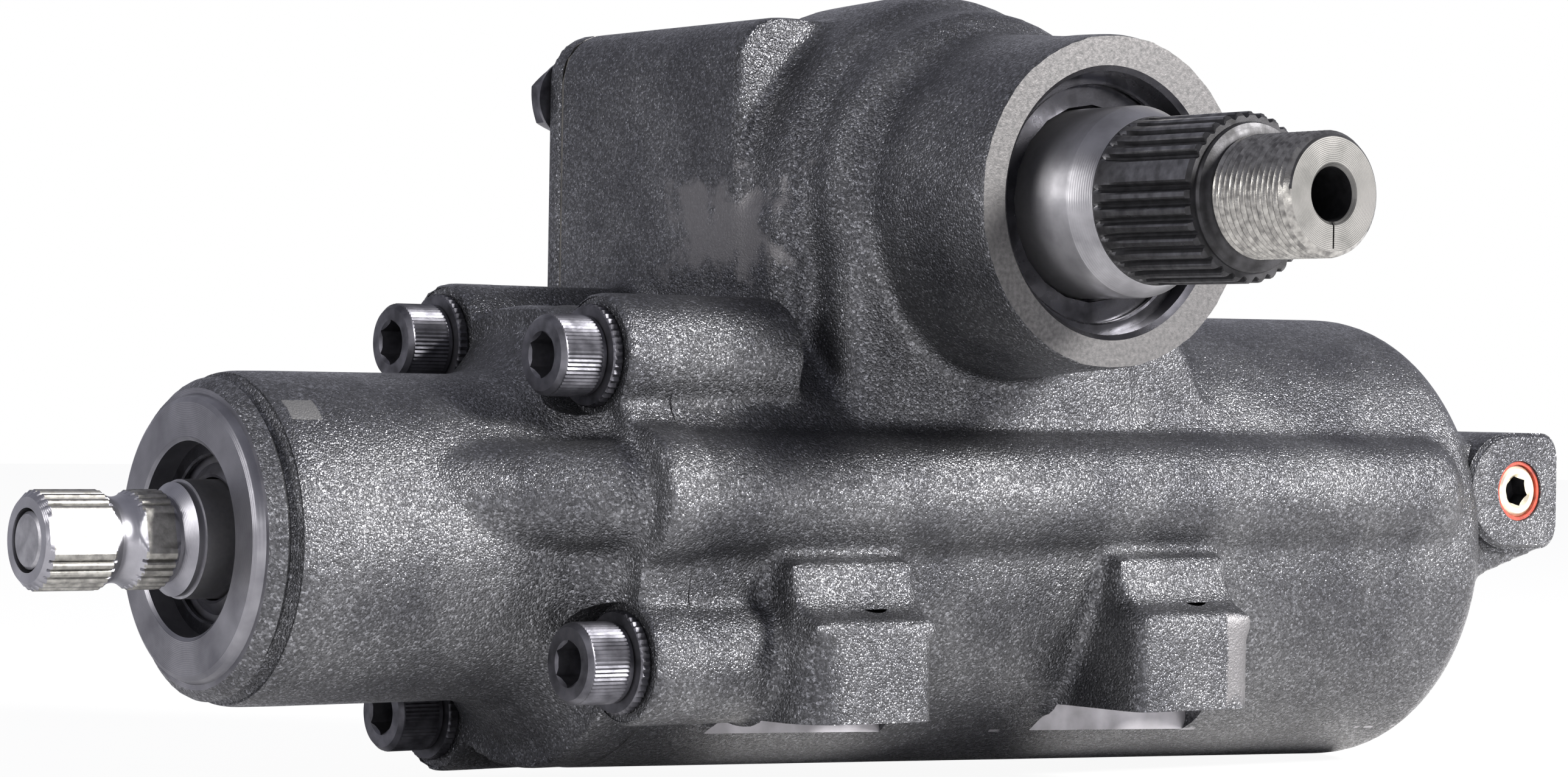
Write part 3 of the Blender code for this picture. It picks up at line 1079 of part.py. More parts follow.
def input_shaft(mat):
    """The input shaft: serrated end with a clamp groove and a blank flat, journal, and valve spool."""
    step = math.pi / INPUT_TEETH
    middle = math.pi - BLANK_FLAT_CENTRE
    flat = INPUT_SPLINE_R * math.cos(BLANK_FLAT_ANGLE / 2)

    def outline(limit):
        points = []
        for i in range(INPUT_TEETH * 2):
            angle = step * i
            away = (angle - middle + math.pi) % (2 * math.pi) - math.pi
            r = INPUT_SPLINE_R if i % 2 == 0 else INPUT_SPLINE_R - INPUT_TOOTH_DEPTH
            if abs(away) < BLANK_FLAT_ANGLE / 2:
                r = flat / math.cos(away)
            r = min(r, limit)
            points.append((r * math.cos(angle), r * math.sin(angle)))
        return points

    # Clamp groove: a round-bottomed channel all the way round
    edge = math.degrees(math.asin(CLAMP_GROOVE_OUT / CLAMP_GROOVE_R))
    groove = [(x, INPUT_SPLINE_R + CLAMP_GROOVE_OUT + dz)
              for x, dz in arc(CLAMP_GROOVE_X, 0.0, CLAMP_GROOVE_R, 180 + edge, 360 - edge, 4)]
    sections = [(0.0, INPUT_SPLINE_R - INPUT_TIP_CHAMFER), (INPUT_TIP_CHAMFER, INPUT_SPLINE_R)]
    sections += groove + [(INPUT_SPLINE_END_X - 0.0009, INPUT_SPLINE_R), (INPUT_SPLINE_END_X, INPUT_SPLINE_R - 0.0009)]
    body = loft([(x, outline(limit)) for x, limit in sections])
    shank = turned([(INPUT_SPLINE_END_X - 0.0010, INPUT_SPLINE_R - 0.0010), (INPUT_SPLINE_END_X + 0.0012, INPUT_SPLINE_R - 0.0010),
                    (JOURNAL_FRONT_X, JOURNAL_R), (SPOOL_FRONT_X, JOURNAL_R), (SPOOL_FRONT_X, SPOOL_R),
                    (SPOOL_REAR_X, SPOOL_R), (SPOOL_REAR_X, WORM_PILOT_R - CLEAR), (PILOT_END_X, WORM_PILOT_R - CLEAR)],
                   steps=MEDIUM)
    body = join(body, shank)
    for i in range(SPOOL_SLOTS):
        slot = box((SPOOL_FRONT_X + 0.006, -SPOOL_SLOT_WIDTH / 2, SPOOL_R - SPOOL_SLOT_DEPTH),
                   (SPOOL_REAR_X - 0.006, SPOOL_SLOT_WIDTH / 2, SPOOL_R + 0.002))
        slot.data.transform(Matrix.Rotation(2 * math.pi * i / SPOOL_SLOTS, 4, "X"))
        body = cut(body, slot)
    body = cut(body,
               turned([(-0.002, TORSION_HEAD_R + THREAD_CLEAR), (TORSION_HEAD_LENGTH + 0.001, TORSION_HEAD_R + THREAD_CLEAR),
                       (TORSION_HEAD_LENGTH + 0.002, INPUT_BORE_R), (PILOT_END_X + 0.002, INPUT_BORE_R)], steps=SMALL))
    return finish(body, "input_shaft", mat)


def torsion_bar(mat):
    bar = turned([(0.0, TORSION_HEAD_R - 0.0004), (0.0004, TORSION_HEAD_R), (TORSION_HEAD_LENGTH, TORSION_HEAD_R),
                  (TORSION_HEAD_LENGTH + 0.003, TORSION_WAIST_R), (TORSION_REAR_HEAD_X - 0.003, TORSION_WAIST_R),
                  (TORSION_REAR_HEAD_X, TORSION_HEAD_R), (TORSION_REAR_X, TORSION_HEAD_R)], steps=SMALL)
    bar = cut(bar, cylinder(-0.010, 0.010, PIN_R + CLEAR, along_z(PIN_X, 0.0), TINY))
    return finish(bar, "torsion_bar", mat)


def plain_ring(name, mat, span, outer_r, inner_r, axis=MAIN_AXIS, steps=MEDIUM):
    return finish(ring(span[0], span[1], outer_r, inner_r, axis, steps), name, mat)


def seal_ring(name, mat, centre, radius, section, axis=MAIN_AXIS):
    """A round-section ring, turned from a circle."""
    circle = arc(centre, radius, section, 180, 0, 2)
    lower = arc(centre, radius, section, 180, 360, 2)[1:-1]
    return finish(turned(circle, lower, axis, FINE), name, mat, 180)


def lip_seal(name, mat, span, outer_r, shaft_r, axis, steps):
    """An oil seal: a flat case with a lip that leans along the shaft."""
    start, end = span
    third = (end - start) / 3
    inner = [(start, shaft_r + 0.0030), (start + third, shaft_r + CLEAR), (start + 2 * third, shaft_r + CLEAR),
             (end, shaft_r + 0.0024)]
    return finish(turned([(start, outer_r), (end, outer_r)], inner, axis, steps), name, mat)


def passage_plug(mat):
    """The socket plug that closes the cross drilling."""
    place = along_y(PLUG_X, PLUG_Z)
    start = PLUG_FACE_Y + 0.0006
    plug = turned([(start, PLUG_HEAD_R - 0.0004), (start + 0.0004, PLUG_HEAD_R),
                   (PLUG_FACE_Y + PLUG_HEAD_DEPTH - CLEAR, PLUG_HEAD_R), (PLUG_FACE_Y + PLUG_HEAD_DEPTH - CLEAR, PLUG_THREAD_R),
                   (PLUG_FACE_Y + PLUG_LENGTH - 0.001, PLUG_THREAD_R)], place=place, steps=SMALL)
    plug = cut(plug, prism(polygon(0, 0, PLUG_SOCKET), start - 0.001, start + PLUG_SOCKET_DEPTH, place))
    return finish(plug, "passage_plug", mat)


def passage_plug_seal(mat):
    start = PLUG_FACE_Y + 0.0010
    return plain_ring("passage_plug_seal", mat, (start, start + 0.0020), PLUG_SEAL_R, PLUG_HEAD_R + CLEAR,
                      along_y(PLUG_X, PLUG_Z), SMALL)


def port_seat(name, mat, x):
    """The brass cone that a line's flare seals on."""
    base = PORT_FACE_Y - PORT_DEPTH + CLEAR
    return finish(turned([(base, PORT_R - CLEAR), (base + 0.0015, PORT_R - CLEAR), (base + 0.0045, PORT_PASSAGE_R + 0.0008)],
                         [(base, PORT_PASSAGE_R), (base + 0.0045, PORT_PASSAGE_R)], along_y(x, 0.0), SMALL), name, mat)


def build():
    iron = material("cast_iron", (0.045, 0.044, 0.048), 0.62, 0.75)
    steel = material("machined_steel", (0.45, 0.45, 0.46), 0.30, 1.0)
    bright = material("plated_steel", (0.66, 0.66, 0.64), 0.24, 1.0)
    dark = material("black_oxide", (0.030, 0.030, 0.033), 0.38, 0.9)
    shaft = material("forged_steel", (0.22, 0.22, 0.225), 0.33, 1.0)
    rubber = material("seal_rubber", (0.012, 0.012, 0.013), 0.55, 0.0)
    red = material("red_sealant", (0.32, 0.030, 0.018), 0.50, 0.0)
    brass = material("brass", (0.60, 0.47, 0.22), 0.30, 1.0)
    ptfe = material("ptfe", (0.10, 0.085, 0.07), 0.45, 0.0)
    fibre = material("gasket_fibre", (0.20, 0.19, 0.17), 0.8, 0.0)

    gear_housing(iron)
    valve_housing(iron)
    for number, (y, z) in enumerate(VALVE_SCREWS, 1):
        socket_screw(f"valve_screw_{number}", dark, y, z)
        lock_washer(f"lock_washer_{number}", dark, y, z)
    side_cover(iron)
    side_cover_gasket(fibre)
    for number, (x, z) in enumerate(cover_bolt_places(), 1):
        cover_bolt(f"cover_bolt_{number}", dark, x, z)
    adjuster_screw(steel)
    adjuster_locknut(steel)

    stack = seal_stack()
    plain_ring("sector_needle_bearing", steel, (NEEDLE_NEAR_Y, CAVITY_NEAR_Y - 0.0004), NEEDLE_R - CLEAR,
               SECTOR_JOURNAL_R + CLEAR, SECTOR_AXIS)
    plain_ring("cover_bush", brass, (COVER_HUB_END_Y + 0.001, TRUNNION_END_Y - 0.002), BUSH_R - CLEAR,
               TRUNNION_R + CLEAR, SECTOR_AXIS)
    lip_seal("sector_oil_seal", rubber, stack["seal"], SEAL_BORE_R - CLEAR, SECTOR_JOURNAL_R, SECTOR_AXIS, MEDIUM)
    plain_ring("sector_backup_washer", steel, stack["backup"], SEAL_BORE_R - CLEAR, SECTOR_JOURNAL_R + 0.0008, SECTOR_AXIS)
    plain_ring("sector_snap_ring", dark, stack["snap"], SNAP_GROOVE_R - CLEAR, SEAL_BORE_R - 0.0024, SECTOR_AXIS)

    stack = input_stack()
    lip_seal("input_oil_seal", rubber, stack["oil"], RECESS_R - CLEAR, JOURNAL_R, MAIN_AXIS, MEDIUM)
    lip_seal("input_dust_seal", rubber, stack["dust"], RECESS_R - CLEAR, JOURNAL_R, MAIN_AXIS, MEDIUM)
    plain_ring("input_snap_ring", dark, stack["snap"], RECESS_R + 0.0013 - CLEAR, RECESS_R - 0.0028)
    plain_ring("input_needle_bearing", steel, (RECESS_END_X + 0.0006, SLEEVE_BORE_FRONT_X - 0.0004),
               NEEDLE_BORE_R - CLEAR, JOURNAL_R + CLEAR)
    front, rear = thrust_spans()
    plain_ring("thrust_bearing_front", steel, front, THRUST_BORE_R - CLEAR, WORM_HEAD_R + CLEAR)
    plain_ring("thrust_bearing_rear", steel, rear, THRUST_BORE_R - CLEAR, WORM_NECK_R + CLEAR)
    plain_ring("bearing_retainer", steel, retainer_span(), RETAINER_R - THREAD_CLEAR, WORM_NECK_R + 0.0010,
               MAIN_AXIS, FINE)
    seal_ring("spigot_seal", rubber, SPIGOT_SEAL_X, BORE_R - CLEAR - SPIGOT_SEAL_R, SPIGOT_SEAL_R)
    passage_plug(brass)
    passage_plug_seal(red)
    port_seat("pressure_port_seat", brass, PORT_XS[0])
    port_seat("return_port_seat", brass, PORT_XS[1])

    sector_shaft(shaft)
    rack_piston(steel)
    piston_ring(ptfe)
    piston_end_plug(steel)
    ball_guide(steel)
    balls(bright)
    worm_shaft(steel)
    valve_sleeve(steel)
    for number, x in enumerate(SLEEVE_RING_XS, 1):
        plain_ring(f"sleeve_ring_{number}", ptfe, (x - SLEEVE_RING_WIDTH / 2, x + SLEEVE_RING_WIDTH / 2),
                   SLEEVE_R + CLEAR / 2, SLEEVE_R - SLEEVE_RING_DEPTH)
    finish(cylinder(-WORM_NECK_R, WORM_NECK_R, PIN_R, along_z(PIN_X, 0.0), TINY), "torsion_pin", steel)
    input_shaft(bright)
    torsion_bar(bright)


clear_scene()
parts = bpy.data.collections.new(NAME)
bpy.context.scene.collection.children.link(parts)
build()
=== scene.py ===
"""Looks of the steering gearbox: rough castings with machined faces, bright and dark steel, seals and screws.

Lengths are in millimetres in the part's own frame; a piece is scaled to metres when it is made.
"""
import json
import math

import bmesh
import bpy
from mathutils import Matrix, Vector


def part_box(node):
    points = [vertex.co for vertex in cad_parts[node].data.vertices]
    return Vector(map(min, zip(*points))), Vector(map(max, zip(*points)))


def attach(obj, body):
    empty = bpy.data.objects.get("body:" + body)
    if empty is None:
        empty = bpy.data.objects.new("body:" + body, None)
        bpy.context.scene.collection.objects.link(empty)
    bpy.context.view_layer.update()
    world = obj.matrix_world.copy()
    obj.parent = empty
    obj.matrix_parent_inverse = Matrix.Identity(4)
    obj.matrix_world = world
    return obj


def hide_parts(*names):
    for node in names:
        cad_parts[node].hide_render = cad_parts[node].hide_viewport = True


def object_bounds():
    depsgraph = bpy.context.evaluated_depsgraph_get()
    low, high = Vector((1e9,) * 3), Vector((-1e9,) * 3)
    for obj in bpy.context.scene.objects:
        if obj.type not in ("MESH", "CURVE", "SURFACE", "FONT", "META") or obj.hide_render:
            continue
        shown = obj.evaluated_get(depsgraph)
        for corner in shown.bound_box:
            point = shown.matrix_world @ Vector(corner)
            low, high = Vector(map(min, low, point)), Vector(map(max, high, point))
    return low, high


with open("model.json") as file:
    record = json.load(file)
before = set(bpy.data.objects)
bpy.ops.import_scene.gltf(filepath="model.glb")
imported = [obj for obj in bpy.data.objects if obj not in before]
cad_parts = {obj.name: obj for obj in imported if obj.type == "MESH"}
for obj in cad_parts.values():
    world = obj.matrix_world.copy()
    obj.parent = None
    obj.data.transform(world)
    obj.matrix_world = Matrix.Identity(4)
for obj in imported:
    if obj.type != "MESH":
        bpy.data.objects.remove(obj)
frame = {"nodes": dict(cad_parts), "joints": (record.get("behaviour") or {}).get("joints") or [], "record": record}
cad_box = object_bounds()

MM = 0.001

# Camera, fitted to the round faces in the photograph
CAMERA_PLACE = (-350.7, -718.8, 30.0)
CAMERA_RIGHT = (0.80800, -0.58896, 0.01624)
CAMERA_UP = (-0.01345, 0.00912, 0.99987)
FOCAL_PIXELS = 6976.0
FRAME_PIXELS = 2576.0
SENSOR = 36.0

# Main places, from the joints of the frame
joints = {joint["name"]: joint for joint in frame["joints"]}
SECTOR_X, _, SECTOR_Z = (value / MM for value in joints["sector_swing"]["pos_m"])
SEAM_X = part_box("gear_housing")[0].x / MM
COVER_FACE_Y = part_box("side_cover_gasket")[0].y / MM
SHAFT_TIP_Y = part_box("sector_shaft")[0].y / MM

ALONG_X = Matrix.Rotation(math.pi / 2, 4, "Y")
ALONG_Y = Matrix.Rotation(-math.pi / 2, 4, "X")
SECTOR_LINE = Matrix.Translation((SECTOR_X, 0, SECTOR_Z)) @ ALONG_Y

# Voxel of the castings and the rounds of smoothing that leave a foundry's soft fillets
GRAIN_VOXEL = 1.4
FILLET_ROUNDS = 5


# Shapes

def arc(cx, cy, radius, start, end, count):
    """Points on an arc, both ends included, angles in degrees."""
    angles = [math.radians(start + (end - start) * i / count) for i in range(count + 1)]
    return [(cx + radius * math.cos(a), cy + radius * math.sin(a)) for a in angles]


def rounded(x0, y0, x1, y1, radius, count=8):
    """A rectangle's outline with round corners."""
    return (arc(x1 - radius, y1 - radius, radius, 0, 90, count) + arc(x0 + radius, y1 - radius, radius, 90, 180, count)
            + arc(x0 + radius, y0 + radius, radius, 180, 270, count) + arc(x1 - radius, y0 + radius, radius, 270, 360, count))


def hexagon(across, turn=0.0):
    return [(across / math.sqrt(3) * math.cos(turn + math.pi * i / 3),
             across / math.sqrt(3) * math.sin(turn + math.pi * i / 3)) for i in range(6)]


def on_x(y, z):
    return Matrix.Translation((0, y, z)) @ ALONG_X


def on_y(x, z):
    return Matrix.Translation((x, 0, z)) @ ALONG_Y


def turned(profile, place=ALONG_X, steps=96, ring=False):
    """A profile of (distance, radius) spun about an axis; a ring's profile closes on itself."""
    bm = bmesh.new()
    if not ring:
        profile = [(profile[0][0], 0.0)] + list(profile) + [(profile[-1][0], 0.0)]
    verts = [bm.verts.new((r, 0.0, s)) for s, r in profile]
    edges = [bm.edges.new(pair) for pair in zip(verts, verts[1:])]
    if ring:
        edges.append(bm.edges.new((verts[-1], verts[0])))
    bmesh.ops.spin(bm, geom=verts + edges, cent=(0, 0, 0), axis=(0, 0, 1), angle=2 * math.pi, steps=steps, use_merge=True)
    bmesh.ops.remove_doubles(bm, verts=bm.verts, dist=1e-4)
    bmesh.ops.recalc_face_normals(bm, faces=bm.faces)
    bm.transform(place)
    return bm


def prism(outline, low, high, place=ALONG_X):
    """A flat outline extruded between two distances along an axis."""
    bm = bmesh.new()
    face = bm.faces.new([bm.verts.new((x, y, low)) for x, y in outline])
    grown = bmesh.ops.extrude_face_region(bm, geom=[face])["geom"]
    bmesh.ops.translate(bm, verts=[v for v in grown if isinstance(v, bmesh.types.BMVert)], vec=(0, 0, high - low))
    bmesh.ops.recalc_face_normals(bm, faces=bm.faces)
    bm.transform(place)
    return bm


def block(low, high, bevel=0.0, segments=4):
    """A box between two corners with its edges rounded."""
    bm = bmesh.new()
    size = Vector(high) - Vector(low)
    bmesh.ops.create_cube(bm, size=1.0, matrix=Matrix.Translation((Vector(high) + Vector(low)) / 2)
                          @ Matrix.Diagonal((*size, 1.0)))
    if bevel:
        bmesh.ops.bevel(bm, geom=list(bm.edges), offset=bevel, segments=segments, profile=0.5, affect="EDGES",
                        material=-1, clamp_overlap=True)
    return bm


def fluted(stations, count, shape, place=ALONG_X):
    """A bar grown ring by ring: shape(distance, angle) gives the radius."""
    bm = bmesh.new()
    start = bmesh.ops.create_circle(bm, cap_ends=False, radius=1.0, segments=count)["verts"]
    edges = list(bm.edges)
    row = start
    for i, distance in enumerate(stations):
        if i:
            grown = bmesh.ops.extrude_edge_only(bm, edges=edges)["geom"]
            row = [v for v in grown if isinstance(v, bmesh.types.BMVert)]
            edges = [e for e in grown if isinstance(e, bmesh.types.BMEdge) and all(v in row for v in e.verts)]
        for vert in row:
            angle = math.atan2(vert.co.y, vert.co.x)
            radius = shape(distance, angle)
            vert.co = (radius * math.cos(angle), radius * math.sin(angle), distance)
    bmesh.ops.holes_fill(bm, edges=bm.edges)
    bmesh.ops.recalc_face_normals(bm, faces=bm.faces)
    bm.transform(place)
    return bm


def thread(radius, depth, pitch, low, high, place, steps=48):
    """A threaded bar: one V spun along a helix and trimmed square at both ends."""
    bm = bmesh.new()
    turns = math.ceil((high - low) / pitch) + 2
    start = low - pitch
    verts = [bm.verts.new((r, 0.0, start + s)) for s, r in ((0, radius - depth), (pitch * 0.45, radius),
                                                           (pitch * 0.55, radius), (pitch, radius - depth))]
    edges = [bm.edges.new(pair) for pair in zip(verts, verts[1:])]
    bmesh.ops.spin(bm, geom=verts + edges, cent=(0, 0, 0), axis=(0, 0, 1), angle=2 * math.pi * turns,
                   dvec=(0, 0, pitch / steps), steps=steps * turns, use_merge=False)
    bmesh.ops.remove_doubles(bm, verts=bm.verts, dist=1e-3)
    for level, normal in ((low, (0, 0, -1)), (high, (0, 0, 1))):
        bmesh.ops.bisect_plane(bm, geom=list(bm.verts) + list(bm.edges) + list(bm.faces), plane_co=(0, 0, level),
                               plane_no=normal, clear_outer=True)
    bmesh.ops.holes_fill(bm, edges=bm.edges)
    bmesh.ops.recalc_face_normals(bm, faces=bm.faces)
    bm.transform(place)
    return bm


def gather(shapes):
    """Several shapes in one mesh."""
    whole = bmesh.new()
    for shape in shapes:
        scratch = bpy.data.meshes.new("scratch")
        shape.to_mesh(scratch)
        shape.free()
        whole.from_mesh(scratch)
        bpy.data.meshes.remove(scratch)
    return whole


def piece(name, *shapes):
    """An object at the origin, in metres."""
    whole = gather(shapes)
    whole.transform(Matrix.Scale(MM, 4))
    mesh = bpy.data.meshes.new(name)
    whole.to_mesh(mesh)
    whole.free()
    obj = bpy.data.objects.new(name, mesh)
    bpy.context.scene.collection.objects.link(obj)
    return obj


def settle(obj):
    """Replace an object's mesh by what its modifiers make of it."""
    graph = bpy.context.evaluated_depsgraph_get()
    mesh = bpy.data.meshes.new_from_object(obj.evaluated_get(graph))
    old = obj.data
    obj.modifiers.clear()
    obj.data = mesh
    bpy.data.meshes.remove(old)
    return obj


def cast(name, shapes, voxel=GRAIN_VOXEL, rounds=FILLET_ROUNDS):
    """A casting: overlapping shapes run together, with soft fillets where they meet."""
    obj = piece(name, *shapes)
    remesh = obj.modifiers.new("Run together", "REMESH")
    remesh.mode = "VOXEL"
    remesh.voxel_size = voxel * MM
    smooth = obj.modifiers.new("Fillets", "SMOOTH")
    smooth.factor = 0.5
    smooth.iterations = rounds
    return settle(obj)


def carve(obj, *shapes, solver="MANIFOLD", operation="DIFFERENCE"):
    """Machine shapes out of an object one after the other."""
    for shape in shapes:
        tool = piece("tool", shape)
        before = len(obj.data.vertices)
        for attempt in (solver, "EXACT"):
            boolean = obj.modifiers.new("Machining", "BOOLEAN")
            boolean.operation = operation
            boolean.solver = attempt
            boolean.object = tool
            settle(obj)
            if len(obj.data.vertices) != before:
                break
        used = tool.data
        bpy.data.objects.remove(tool, do_unlink=True)
        bpy.data.meshes.remove(used)
    return obj


def dress(obj, body, materials, choose=None, sharp=32.0, node=None):
    """Give a piece its materials, its shading and its body, and hide the nodes that it stands for."""
    obj.data.materials.clear()
    for material in materials:
        obj.data.materials.append(material)
    if choose:
        for polygon in obj.data.polygons:
            polygon.material_index = choose(polygon.center / MM, polygon.normal)
    obj.data.shade_smooth()
    obj.data.set_sharp_from_angle(angle=math.radians(sharp))
    # Faces cut flat have many corners: they take no shading from their neighbours
    for polygon in obj.data.polygons:
        polygon.use_smooth = len(polygon.vertices) < 7
    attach(obj, body)
    if node:
        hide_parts(*([node] if isinstance(node, str) else node))
    return obj


# Materials

def colour(code):
    """A linear colour from an sRGB hex code."""
    values = [int(code[i:i + 2], 16) / 255 for i in (0, 2, 4)]
    return (*[v / 12.92 if v <= 0.04045 else ((v + 0.055) / 1.055) ** 2.4 for v in values], 1.0)


def add_node(tree, kind, settings=None, inputs=None):
    """One node with its settings and its inputs, which are values or other nodes' outputs."""
    node = tree.nodes.new(kind)
    for name, value in (settings or {}).items():
        setattr(node, name, value)
    for name, value in (inputs or {}).items():
        if isinstance(value, bpy.types.NodeSocket):
            tree.links.new(value, node.inputs[name])
        else:
            node.inputs[name].default_value = value
    return node


def blank(name, **values):
    """A material with a Principled shader, its coordinates and the constants given."""
    material = bpy.data.materials.new(name)
    material.use_nodes = True
    tree = material.node_tree
    shader = tree.nodes["Principled BSDF"]
    for key, value in values.items():
        shader.inputs[key.replace("_", " ")].default_value = value
    place = add_node(tree, "ShaderNodeTexCoord").outputs["Object"]
    return material, tree, shader, place


def ramp(tree, factor, stops):
    """A colour ramp through (position, colour) stops."""
    node = add_node(tree, "ShaderNodeValToRGB", inputs={"Fac": factor})
    elements = node.color_ramp.elements
    while len(elements) < len(stops):
        elements.new(0.5)
    for element, (position, value) in zip(elements, stops):
        element.position = position
        element.color = value
    return node.outputs["Color"]


def grey(value):
    return (value, value, value, 1.0)


def patch(tree, place, ragged, centre, half, edge=1.2):
    """A mask that is 1 inside a box about a centre, its edge broken by a noise."""
    offset = add_node(tree, "ShaderNodeVectorMath", {"operation": "SUBTRACT"},
                      {0: place, 1: tuple(value * MM for value in centre)})
    size = add_node(tree, "ShaderNodeVectorMath", {"operation": "ABSOLUTE"}, {0: offset.outputs[0]})
    share = add_node(tree, "ShaderNodeVectorMath", {"operation": "DIVIDE"},
                     {0: size.outputs[0], 1: tuple(value * MM for value in half)})
    parts = add_node(tree, "ShaderNodeSeparateXYZ", inputs={"Vector": share.outputs[0]})
    widest = add_node(tree, "ShaderNodeMath", {"operation": "MAXIMUM"}, {0: parts.outputs[0], 1: parts.outputs[1]})
    widest = add_node(tree, "ShaderNodeMath", {"operation": "MAXIMUM"}, {0: widest.outputs[0], 1: parts.outputs[2]})
    torn = add_node(tree, "ShaderNodeMath", {"operation": "MULTIPLY_ADD"}, {0: ragged, 1: edge, 2: widest.outputs[0]})
    return add_node(tree, "ShaderNodeMapRange", inputs={"Value": torn.outputs[0], "From Min": 1.0 + edge * 0.42,
                                                        "From Max": 1.0 + edge * 0.58, "To Min": 1.0, "To Max": 0.0}).outputs[0]


def cast_iron(name, dark, light, ground, patches=(), grain=0.42):
    """Grey iron out of a sand mould, oiled: close grains that each catch the light on their own."""
    material, tree, shader, place = blank(name, Metallic=0.8)
    # Slow clouds of oil and scale, a few centimetres across
    clouds = add_node(tree, "ShaderNodeTexNoise", inputs={"Vector": place, "Scale": 1 / (20 * MM), "Detail": 5.0})
    # Sand grains under a millimetre, pushed out of line by a noise of their own size
    drift = add_node(tree, "ShaderNodeTexNoise", inputs={"Vector": place, "Scale": 1 / (0.7 * MM), "Detail": 2.0})
    shifted = add_node(tree, "ShaderNodeVectorMath", {"operation": "MULTIPLY_ADD"},
                       {0: drift.outputs["Color"], 1: (0.0006, 0.0006, 0.0006), 2: place})
    grains = add_node(tree, "ShaderNodeTexVoronoi", {"feature": "F1"},
                      {"Vector": shifted.outputs[0], "Scale": 1 / (grain * MM)})
    sand = add_node(tree, "ShaderNodeTexNoise", inputs={"Vector": place, "Scale": 1 / (0.7 * MM), "Detail": 3.0,
                                                        "Roughness": 0.65})
    tint = ramp(tree, clouds.outputs["Fac"], [(0.34, colour(dark)), (0.66, colour(light))])
    # Each grain has a shade of its own, from an oiled pit to a rubbed top; the palest grains are painted glints
    own = add_node(tree, "ShaderNodeSeparateColor", inputs={"Color": grains.outputs["Color"]})
    shade = ramp(tree, own.outputs[0], [(0.0, grey(0.05)), (0.5, grey(0.17)), (0.84, grey(0.34)), (1.0, grey(0.75))])
    base = add_node(tree, "ShaderNodeMix", {"data_type": "RGBA", "blend_type": "OVERLAY"},
                    {"Factor": 0.8, 6: tint, 7: shade}).outputs[2]
    rough = add_node(tree, "ShaderNodeMapRange", inputs={"Value": own.outputs[0], "To Min": 0.48, "To Max": 0.22}).outputs[0]
    height = add_node(tree, "ShaderNodeMath", {"operation": "SUBTRACT"},
                      {0: sand.outputs["Fac"], 1: grains.outputs["Distance"]}).outputs[0]
    strength = 1.0
    if patches:
        # Ground or scraped spots, smoother and paler than the skin round them
        ragged = add_node(tree, "ShaderNodeTexNoise", inputs={"Vector": place, "Scale": 1 / (7 * MM), "Detail": 6.0,
                                                              "Roughness": 0.6}).outputs["Fac"]
        masks = [patch(tree, place, ragged, *spot) for spot in patches]
        mask = masks[0]
        for other in masks[1:]:
            mask = add_node(tree, "ShaderNodeMath", {"operation": "MAXIMUM"}, {0: mask, 1: other}).outputs[0]
        share = add_node(tree, "ShaderNodeMath", {"operation": "MULTIPLY"}, {0: mask, 1: 0.8}).outputs[0]
        base = add_node(tree, "ShaderNodeMix", {"data_type": "RGBA"}, {"Factor": share, 6: base, 7: colour(ground)}).outputs[2]
        rough = add_node(tree, "ShaderNodeMix", inputs={"Factor": mask, 2: rough, 3: 0.52}).outputs[0]
        strength = add_node(tree, "ShaderNodeMapRange", inputs={"Value": mask, "To Min": 1.0, "To Max": 0.5}).outputs[0]
    tree.links.new(base, shader.inputs["Base Color"])
    tree.links.new(rough, shader.inputs["Roughness"])
    bump = add_node(tree, "ShaderNodeBump", inputs={"Strength": strength, "Distance": 0.15 * MM, "Height": height})
    tree.links.new(bump.outputs[0], shader.inputs["Normal"])
    return material


def machined(name, dark, light, centre, axis, spacing=0.35, roughness=0.36, metallic=0.9):
    """Turned metal: rings of tool marks about an axis, with blotches of wear."""
    material, tree, shader, place = blank(name, Metallic=metallic)
    turn = {"X": (0.0, math.pi / 2, 0.0), "Y": (math.pi / 2, 0.0, 0.0), "Z": (0.0, 0.0, 0.0)}[axis]
    mapping = add_node(tree, "ShaderNodeMapping", {"vector_type": "TEXTURE"},
                       {"Vector": place, "Location": tuple(value * MM for value in centre), "Rotation": turn})
    rings = add_node(tree, "ShaderNodeTexWave", {"wave_type": "RINGS", "rings_direction": "Z"},
                     {"Vector": mapping.outputs[0], "Scale": 1 / (spacing * MM) / (2 * math.pi) * 2.0, "Distortion": 0.4,
                      "Detail": 2.0})
    wear = add_node(tree, "ShaderNodeTexNoise", inputs={"Vector": place, "Scale": 1 / (9 * MM), "Detail": 5.0})
    tint = ramp(tree, wear.outputs["Fac"], [(0.32, colour(dark)), (0.70, colour(light))])
    tree.links.new(tint, shader.inputs["Base Color"])
    rough = add_node(tree, "ShaderNodeMapRange", inputs={"Value": wear.outputs["Fac"], "From Min": 0.3, "From Max": 0.7,
                                                         "To Min": roughness + 0.08, "To Max": roughness - 0.08})
    tree.links.new(rough.outputs[0], shader.inputs["Roughness"])
    bump = add_node(tree, "ShaderNodeBump", inputs={"Strength": 0.22, "Distance": 0.05 * MM, "Height": rings.outputs["Fac"]})
    tree.links.new(bump.outputs[0], shader.inputs["Normal"])
    return material


